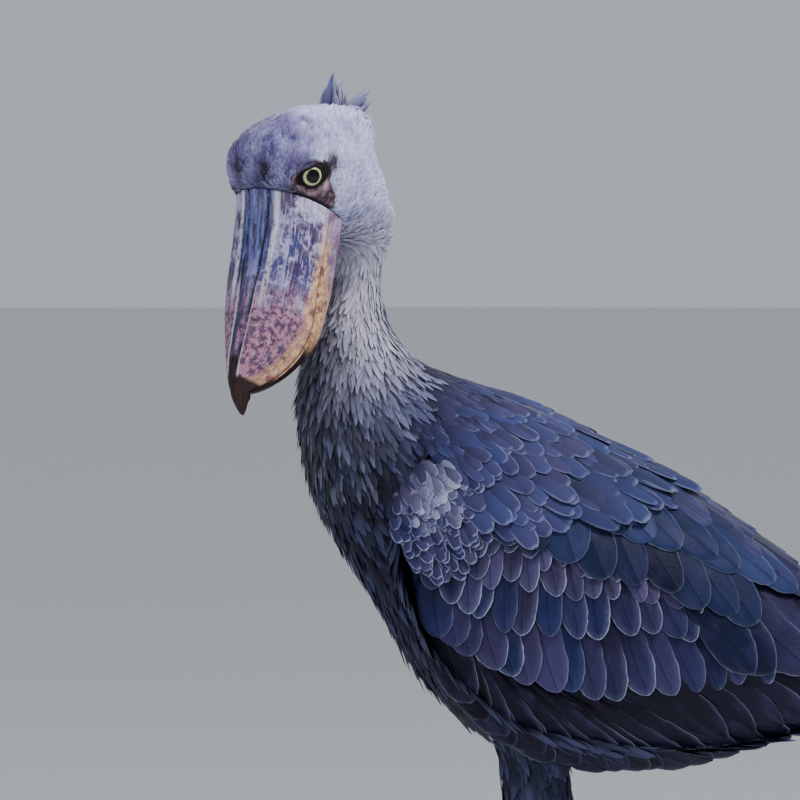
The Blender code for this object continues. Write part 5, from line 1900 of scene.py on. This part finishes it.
def claw_rings(toe, side, centre):
    """The arched claw of one toe, its point down to the ground."""
    length, angle, claw = toe
    way, across = toe_frame(angle, side)
    angles = round_angles(20)
    ring = np.outer(np.sin(angles) * 0.75, across) + np.outer(np.cos(angles), (0, 0, 1))
    rings = []
    for s in np.linspace(-0.12, 1, 22):
        radius = TOE_RADIUS * 0.60 * max(1 - max(s, 0.0), 0.0) ** 0.7 + 0.0006
        height = TOE_RADIUS * (0.68 + 0.45 * sin(s * pi * 0.8)) * (1 - 0.45 * s)
        middle = centre + way * (length - claw + claw * s) + np.array((0, 0, height))
        points = middle + ring * radius
        points[:, 2] = np.maximum(points[:, 2], GROUND)
        rings.append(points)
    return np.array(rings)


def build_legs(skin_finish, horn):
    """Shanks, feet and claws."""
    for side, name in SIDES:
        shank = link("lower_leg_" + name, loft_mesh("shank", shank_rings(side)), skin_finish)
        dress(shank, "leg_skin", "shank_" + name)
        centre = stepped([(side * LEG_APART / 2, 0.0, 0.0)], side)[0]
        x, r = centre[0], SHANK_RADIUS
        hub = stepped((
            (x, 0.003, 0.034, r * 1.18, r * 1.28),
            (x, 0.001, 0.018, r * 1.55, r * 1.65),
            (x, -0.002, 0.006, r * 1.60, r * 1.75),
            (x, -0.002, 0.001, r * 1.30, r * 1.40),
        ), side)
        hub = level_rings(drawn_out(hub, np.linspace(0, 1, 14)), 32)
        lofts = [loft_mesh("hub", hub)]
        lofts += [loft_mesh("toe", toe_rings(toe, side, centre)) for toe in TOES]
        foot = joined_meshes("foot_skin_" + name, lofts, skin_finish)
        one_surface(foot, FOOT_VOXEL, 3)
        for vertex in foot.data.vertices:
            vertex.co.z = max(vertex.co.z, GROUND)
        foot.data.shade_smooth()
        foot.data.materials.clear()
        foot.data.materials.append(skin_finish)
        dress(foot, "leg_skin", "foot_" + name)
        claws = [loft_mesh("claw", claw_rings(toe, side, centre)) for toe in TOES]
        dress(joined_meshes("claws_" + name, claws, horn), "horn", "foot_" + name)


# The coat


def skin_finish():
    """The skin between the feathers: their own colours, darker, with a soft down."""
    finish = Finish("skin", roughness=0.85, specular=0.2)
    fine = finish.grain(finish.place(), 420.0, 4.0, 0.7)
    finish.shade = finish.scaled(finish.held("tint", "Color"), 0.42 + fine * 0.5)
    return finish.done(height=fine, distance=0.0008)


# The coats' small feathers: rows along and half widths there, number of columns, how far they
# crown across and curl along, and how ragged their tips are.
FEATHER_FORMS = {
    "lance": ((0.0, 0.3, 0.6, 0.85, 1.0), (0.50, 1.0, 0.85, 0.45, 0.10), 3, 0.12, 0.04, 0.06),
    "velvet": ((0.0, 0.3, 0.7, 1.0), (0.50, 1.0, 0.80, 0.14), 3, 0.12, 0.04, 0.04),
    "plume": (
        (0.0, 0.2, 0.45, 0.7, 0.88, 1.0),
        (0.35, 0.9, 1.0, 0.78, 0.46, 0.08),
        3, 0.14, 0.05, 0.08,
    ),
    "contour": (
        (0.0, 0.2, 0.45, 0.7, 0.85, 0.95, 1.0),
        (0.4, 0.9, 1.0, 0.97, 0.82, 0.58, 0.28),
        5, 0.12, 0.05, 0.012,
    ),
}


def coat_feathers():
    """Three small feathers of each form that the coats are made of."""
    return {
        label: [small_feather(f"{label} {seed}", *form, seed) for seed in (1, 2, 3)]
        for label, form in FEATHER_FORMS.items()
    }


def under_wing(points):
    """Whether the folded wing lies close over each point of the body."""
    along, round_ = np.meshgrid(np.linspace(0.17, 0.92, 60), np.linspace(0.28, 1.36, 60))
    tree = KDTree(2 * along.size)
    index = 0
    for side, _ in SIDES:
        surface = wing_surface(along.ravel(), round_.ravel() * side)[0]
        for point in surface.tolist():
            tree.insert(point, index)
            index += 1
    tree.balance()
    return np.array([tree.find(point)[2] for point in points.tolist()]) < 0.012


def grow_mantle(tree, feathers, finish):
    """The small scalloped feathers over the shoulders and the front of the back."""
    keys = (-0.06, 0.05, 0.35)

    def share(along, round_):
        reach = np.interp(along, (-0.06, 0.02, 0.10, 0.20, 0.36), (0.72, 0.86, 0.95, 0.86, 0.34))
        return (1 - smooth(np.abs(round_), reach - 0.10, reach)) * (along < 0.34)

    def tint(along, _, points):
        front = mixed(NECK_DARK, MANTLE, smooth(along, -0.06, 0.03))
        colour = mixed(front, COVERT_WARM, 0.5 + mottle(points, 0.02))
        blue = smooth(along, 0.12, 0.34) * 0.6 + 0.3 * mottle(points, 0.03, 7.0)
        colour = mixed(colour, SCAPULAR, np.clip(blue, 0, 1))
        return colour * (1 - 0.35 * smooth(along, 0.16, 0.32))[:, None]

    bed = envelope_bed(
        "mantle",
        np.linspace(-0.07, 0.38, 90),
        np.linspace(-0.98, 0.98, 120),
        lift=lambda along, _: np.interp(along, (-0.07, 0.0, 0.1, 0.35), (0.0, 0.0025, 0.0085, 0.0150)),
        share=share,
        width=lambda along, _: np.interp(along, keys, (0.0085, 0.0130, 0.0230)),
        length=lambda along, _: np.interp(along, keys, (0.0200, 0.0300, 0.0560)),
        tint=tint,
        drift=0.18,
    )
    grow_coat("mantle", tree, bed, finish, feathers, (0.0054, 0.34, 0.06, 0.22), 41)


def grow_wrists(tree, feathers, finish):
    """The small pale-edged feathers curling over the bend of each wing."""

    def near(along, round_):
        return np.hypot((along - 0.105) / 0.085, (np.abs(round_) - 1.01) / 0.25)

    def tint(along, round_, points):
        bend = np.hypot((along - 0.078) / 0.050, (np.abs(round_) - 0.92) / 0.14)
        colour = mixed(COVERT_WARM, COVERT, 0.5 + mottle(points, 0.012))
        pale = np.clip(0.36 - 0.30 * bend + 0.50 * mottle(points, 0.004), 0, 0.40)
        return mixed(colour, HEAD_PALE, pale)

    for side, name in SIDES:
        bed = envelope_bed(
            "wrist",
            np.linspace(0.03, 0.26, 50),
            np.linspace(0.72, 1.32, 56) * side,
            lift=lambda along, round_: 0.0105 - 0.0030 * near(along, round_) ** 2,
            share=lambda along, round_: 1 - smooth(near(along, round_), 0.65, 1.15),
            width=lambda along, round_: 0.0070 + 0.0045 * near(along, round_),
            length=lambda along, round_: 0.0150 + 0.0110 * near(along, round_),
            tint=tint,
            drift=0.45,
        )
        measures = (0.0032, 0.30, 0.13, 0.30)
        grow_coat("wrist_feathers_" + name, tree, bed, finish, feathers, measures, 43 + side)


# Where the flank feathers' bed meets the folded wing's envelope: places (along, round) from the
# shoulder round the wing's front and along its lower edge.
FLANK_PATH = (
    (-0.04, 0.46), (0.00, 0.64), (0.035, 0.84), (0.06, 1.05), (0.095, 1.27), (0.16, 1.47),
    (0.27, 1.58), (0.40, 1.56), (0.55, 1.48), (0.70, 1.33), (0.84, 1.14),
)


def grow_flanks(tree, feathers, finish, surface):
    """The side feathers that close the space between body and wing, in front and below."""
    count, across = 90, 16
    part, share = np.linspace(0, 1, count), np.linspace(0, 1, across)
    at = drawn_out(FLANK_PATH, part)
    along = np.repeat(part, across)
    quads = grid_faces(count, across)
    place = np.stack((np.tile(share, count), along), axis=1)[quads]
    width = np.interp(along, (0, 1), (0.0075, 0.0130))
    for side, name in SIDES:
        edge = wing_surface(at[:, 0], at[:, 1] * side, np.full(count, 0.001))[0]
        nearest = [surface.find_nearest(Vector(point)) for point in edge]
        body = np.array([np.array(spot) - np.array(normal) * 0.003 for spot, normal, *_ in nearest])
        for _ in range(12):
            body[1:-1] = (body[:-2] + body[1:-1] * 2 + body[2:]) / 4
        run = unit(np.gradient(edge, axis=0))
        out = unit(np.cross(run, body - edge))
        out = out * np.where(out @ np.array((0.3 * side, -1.0, -0.6)) < 0, -1, 1)[:, None]
        grid = edge[:, None] * (1 - share)[None, :, None] + body[:, None] * share[None, :, None]
        swell = 0.22 * np.linalg.norm(body - edge, axis=1)
        bulge = swell[:, None] * np.sin(share * pi)[None]
        grid = grid + out[:, None] * bulge[..., None]
        normal = unit(np.cross(np.gradient(grid, axis=0), np.gradient(grid, axis=1)))
        normal = normal * np.where((normal * out[:, None]).sum(-1) < 0, -1, 1)[..., None]
        points = grid.reshape(-1, 3)
        way = np.repeat(unit(run + np.array((0, 0.1, -0.3))), across, axis=0)
        streaked = mixed(BREAST, BREAST_STREAK, 0.35 + 0.5 * mottle(points, 0.02))
        tint = mixed(NECK_DARK, streaked, smooth(along, 0, 0.25))
        bed = feather_bed(
            "flank", points, quads, np.ones(len(points)), width, width * 3.0,
            way, normal.reshape(-1, 3), tint, place,
        )
        measures = (0.0046, 0.3, 0.10, 0.22)
        grow_coat("flank_feathers_" + name, tree, bed, finish, feathers, measures, 47 + side)


def grow_coats(skin, fields, finishes, surface):
    """Every coat of small feathers, finest on the face."""
    tree = coat_tree()
    feathers = coat_feathers()
    points, region, along = fields["points"], fields["region"], fields["along"]
    body = region == BODY
    local = to_head(points)
    around = local - np.array((0.0, 0.05, 0.01))
    rise = np.clip(-around[:, 1] / np.linalg.norm(around, axis=1), -1, 1)
    turn = np.arctan2(around[:, 0], around[:, 2]) / (2 * pi) + 0.5
    head_place = np.stack((turn, np.arccos(rise) / pi), axis=1)
    body_place = np.stack((fields["turn"], along / SKIN_END_ROW), axis=1)
    leg_place = np.stack((fields["turn"], along), axis=1)
    open_skin = (1 - bare_share(points)) * smooth(local[:, 1], 0.0008, 0.0030)
    shown = ~under_wing(points)

    def band(first, last):
        fade = 0.3
        begun = smooth(along, first - fade, first + fade)
        return begun * (1 - smooth(along, last - fade, last + fade)) * body

    def growing(first, last, start, end):
        return np.interp(along, (first, last), (start, end))

    face = smooth(local[:, 1], 0.0, 0.075)
    crown = smooth(local[:, 1] + 0.4 * local[:, 2], 0.045, 0.095)
    on_face = (region == FACE) | (body & (along < 4.2))
    low = smooth(points[:, 2], 0.36, 0.46)
    same = np.ones(len(points))

    # Each coat: its name, feather, finish and share of the skin; its spacing, unevenness, lift
    # and ruffle; and its feathers' length, width and place in the bake map.
    coats = (
        ("head_feathers", "velvet", "head", on_face * open_skin, (0.0015, 0.30, 0.17, 0.20),
         0.0046 + 0.0026 * face + 0.0034 * crown, 0.0024 + 0.0009 * face, head_place),
        ("head_and_nape_feathers", "velvet", "head", band(4.2, 7.4), (0.0019, 0.30, 0.18, 0.26),
         growing(4, 7.5, 0.0090, 0.0125), growing(4, 7.5, 0.0032, 0.0038), body_place),
        ("neck_upper_feathers", "lance", "neck", band(7.2, 10.2), (0.0022, 0.35, 0.16, 0.30),
         growing(7, 10, 0.0130, 0.0190), growing(7, 10, 0.0032, 0.0042), body_place),
        ("neck_lower_feathers", "lance", "neck", band(10.0, 12.9) * shown,
         (0.0028, 0.35, 0.13, 0.28),
         growing(10, 13, 0.0190, 0.0290), growing(10, 13, 0.0044, 0.0066), body_place),
        ("breast_feathers", "plume", "breast", band(12.6, 15.3) * shown,
         (0.0043, 0.35, 0.11, 0.24),
         growing(12, 15, 0.0270, 0.0350), growing(12, 15, 0.0066, 0.0092), body_place),
        ("belly_feathers", "plume", "breast", band(15.1, 18.1) * shown,
         (0.0070, 0.30, 0.10, 0.18), 0.0400 * same, 0.0130 * same, body_place),
        ("rump_feathers", "contour", "body", band(17.3, 19.6) * shown,
         (0.0066, 0.25, 0.08, 0.14), 0.0330 * same, 0.0145 * same, body_place),
        ("thigh_feathers", "plume", "breast", region == LEG, (0.0046, 0.32, 0.11, 0.22),
         0.0120 + 0.0100 * low, 0.0046 + 0.0030 * low, leg_place),
    )
    for seed, (name, form, finish, share, measures, length, width, place) in enumerate(coats, 20):
        bed = bed_of(name, skin, fields, np.asarray(share, float), width, length, place)
        grow_coat(name, tree, bed, finishes[finish], feathers[form], measures, seed)
    grow_mantle(tree, feathers["contour"], finishes["mantle"])
    grow_wrists(tree, feathers["contour"], finishes["wrist"])
    grow_flanks(tree, feathers["plume"], finishes["breast"], surface)
    for forms in feathers.values():
        for feather in forms:
            bpy.data.objects.remove(feather)


# The setting

FLOOR_RADIUS = 40.0
FLOOR_COLOUR = (0.78, 0.79, 0.78, 1.0)
SKY_COLOUR = (0.80, 0.86, 0.95, 1.0)
SKY_STRENGTH = 0.56
LIT_POINT = (0.0, 0.05, 0.85)
# Each lamp: name, place from the point that it lights, size, power and colour.
LAMPS = (
    ("key", (1.5, 1.9, 3.8), 1.2, 225.0, (1.0, 0.98, 0.95)),
    ("fill", (3.4, -2.2, 1.4), 2.4, 40.0, (0.95, 0.97, 1.0)),
    ("far side", (-3.0, 0.4, 2.2), 2.4, 45.0, (0.95, 0.97, 1.0)),
)
CAMERA_AWAY = 8.0
CAMERA_LENS = 360.0
SENSOR_WIDTH = 36.0
LOOK_RIGHT = -0.140
LOOK_HEIGHT = 0.84


def aimed(thing, way):
    """Turn a lamp or camera to look along a way."""
    thing.rotation_euler = way.to_track_quat("-Z", "Y").to_euler()


def build_setting():
    """A plain pale floor under a pale sky, soft lights, and the camera."""
    floor_mesh = bpy.data.meshes.new("floor")
    work = bmesh.new()
    bmesh.ops.create_circle(work, cap_ends=True, segments=96, radius=FLOOR_RADIUS)
    work.to_mesh(floor_mesh)
    work.free()
    ground = Finish("pale floor", roughness=0.9, specular=0.1)
    ground.constant("Base Color", FLOOR_COLOUR)
    link("floor", floor_mesh, ground.material)

    world = bpy.data.worlds.new("pale sky")
    bpy.context.scene.world = world
    world.use_nodes = True
    sky = world.node_tree.nodes["Background"]
    sky.inputs["Color"].default_value = SKY_COLOUR
    sky.inputs["Strength"].default_value = SKY_STRENGTH

    middle = Vector(SHIFT) + Vector(LIT_POINT)
    for name, offset, size, power, colour in LAMPS:
        data = bpy.data.lights.new(name, "AREA")
        data.size = size
        data.energy = power
        data.color = colour
        lamp = link(name, data)
        lamp.location = middle + Vector(offset)
        aimed(lamp, middle - lamp.location)

    turn, rise = radians(CAMERA_TURN), radians(CAMERA_RISE)
    level = cos(rise)
    way = Vector((sin(turn) * level, -cos(turn) * level, sin(rise)))
    right = Vector((cos(turn), sin(turn), 0.0))
    target = right * LOOK_RIGHT + Vector((0.0, 0.0, LOOK_HEIGHT)) + Vector(SHIFT)
    data = bpy.data.cameras.new("camera")
    data.sensor_width = SENSOR_WIDTH
    data.lens = CAMERA_LENS
    data.clip_end = 300.0
    camera = link("camera", data)
    camera.location = target + way * CAMERA_AWAY
    aimed(camera, -way)
    bpy.context.scene.camera = camera


def main():
    """The whole bird and its setting."""
    skin, fields = build_skin(skin_finish())
    dress(skin, "body_plumage", "head", "neck", "torso", "thigh_left", "thigh_right")
    faces = [list(face.vertices) for face in skin.data.polygons]
    surface = BVHTree.FromPolygons(fields["points"].tolist(), faces)
    finishes = {
        "head": small_feather_finish("head feathers", 0.35, sheen=0.2),
        "neck": small_feather_finish("neck feathers", 0.30, NECK_STREAK, 0.5, sheen=0.1),
        "breast": small_feather_finish("breast feathers", 0.25, BREAST_STREAK, 0.75),
        "body": small_feather_finish("body feathers", 0.5),
        "mantle": small_feather_finish("mantle feathers", 0.15, fringe=0.26),
        "wrist": small_feather_finish("wrist feathers", 0.3, fringe=0.62),
    }
    grow_coats(skin, fields, finishes, surface)
    dark = vane_finish("flight feathers", fringe=0.45, fringe_width=0.0010, gloss=0.42)
    covert = vane_finish("covert feathers", fringe=1.0, fringe_width=0.0017, gloss=0.50)
    long = vane_finish("long scapular feathers", fringe=0.5, fringe_width=0.0010, gloss=0.45)
    build_wings(dark, covert, long, skin_finish())
    build_back(long)
    build_tail(dark)
    build_crest(finishes["head"])
    build_eyes(eye_finish())
    build_eye_skin(surface, bare_skin_finish())
    build_upper_bill(bill_finish("upper bill", upper_bill_marks))
    build_lower_bill(bill_finish("lower bill", lower_bill_marks))
    build_legs(leg_finish("leg skin"), claw_finish())
    build_setting()


main()
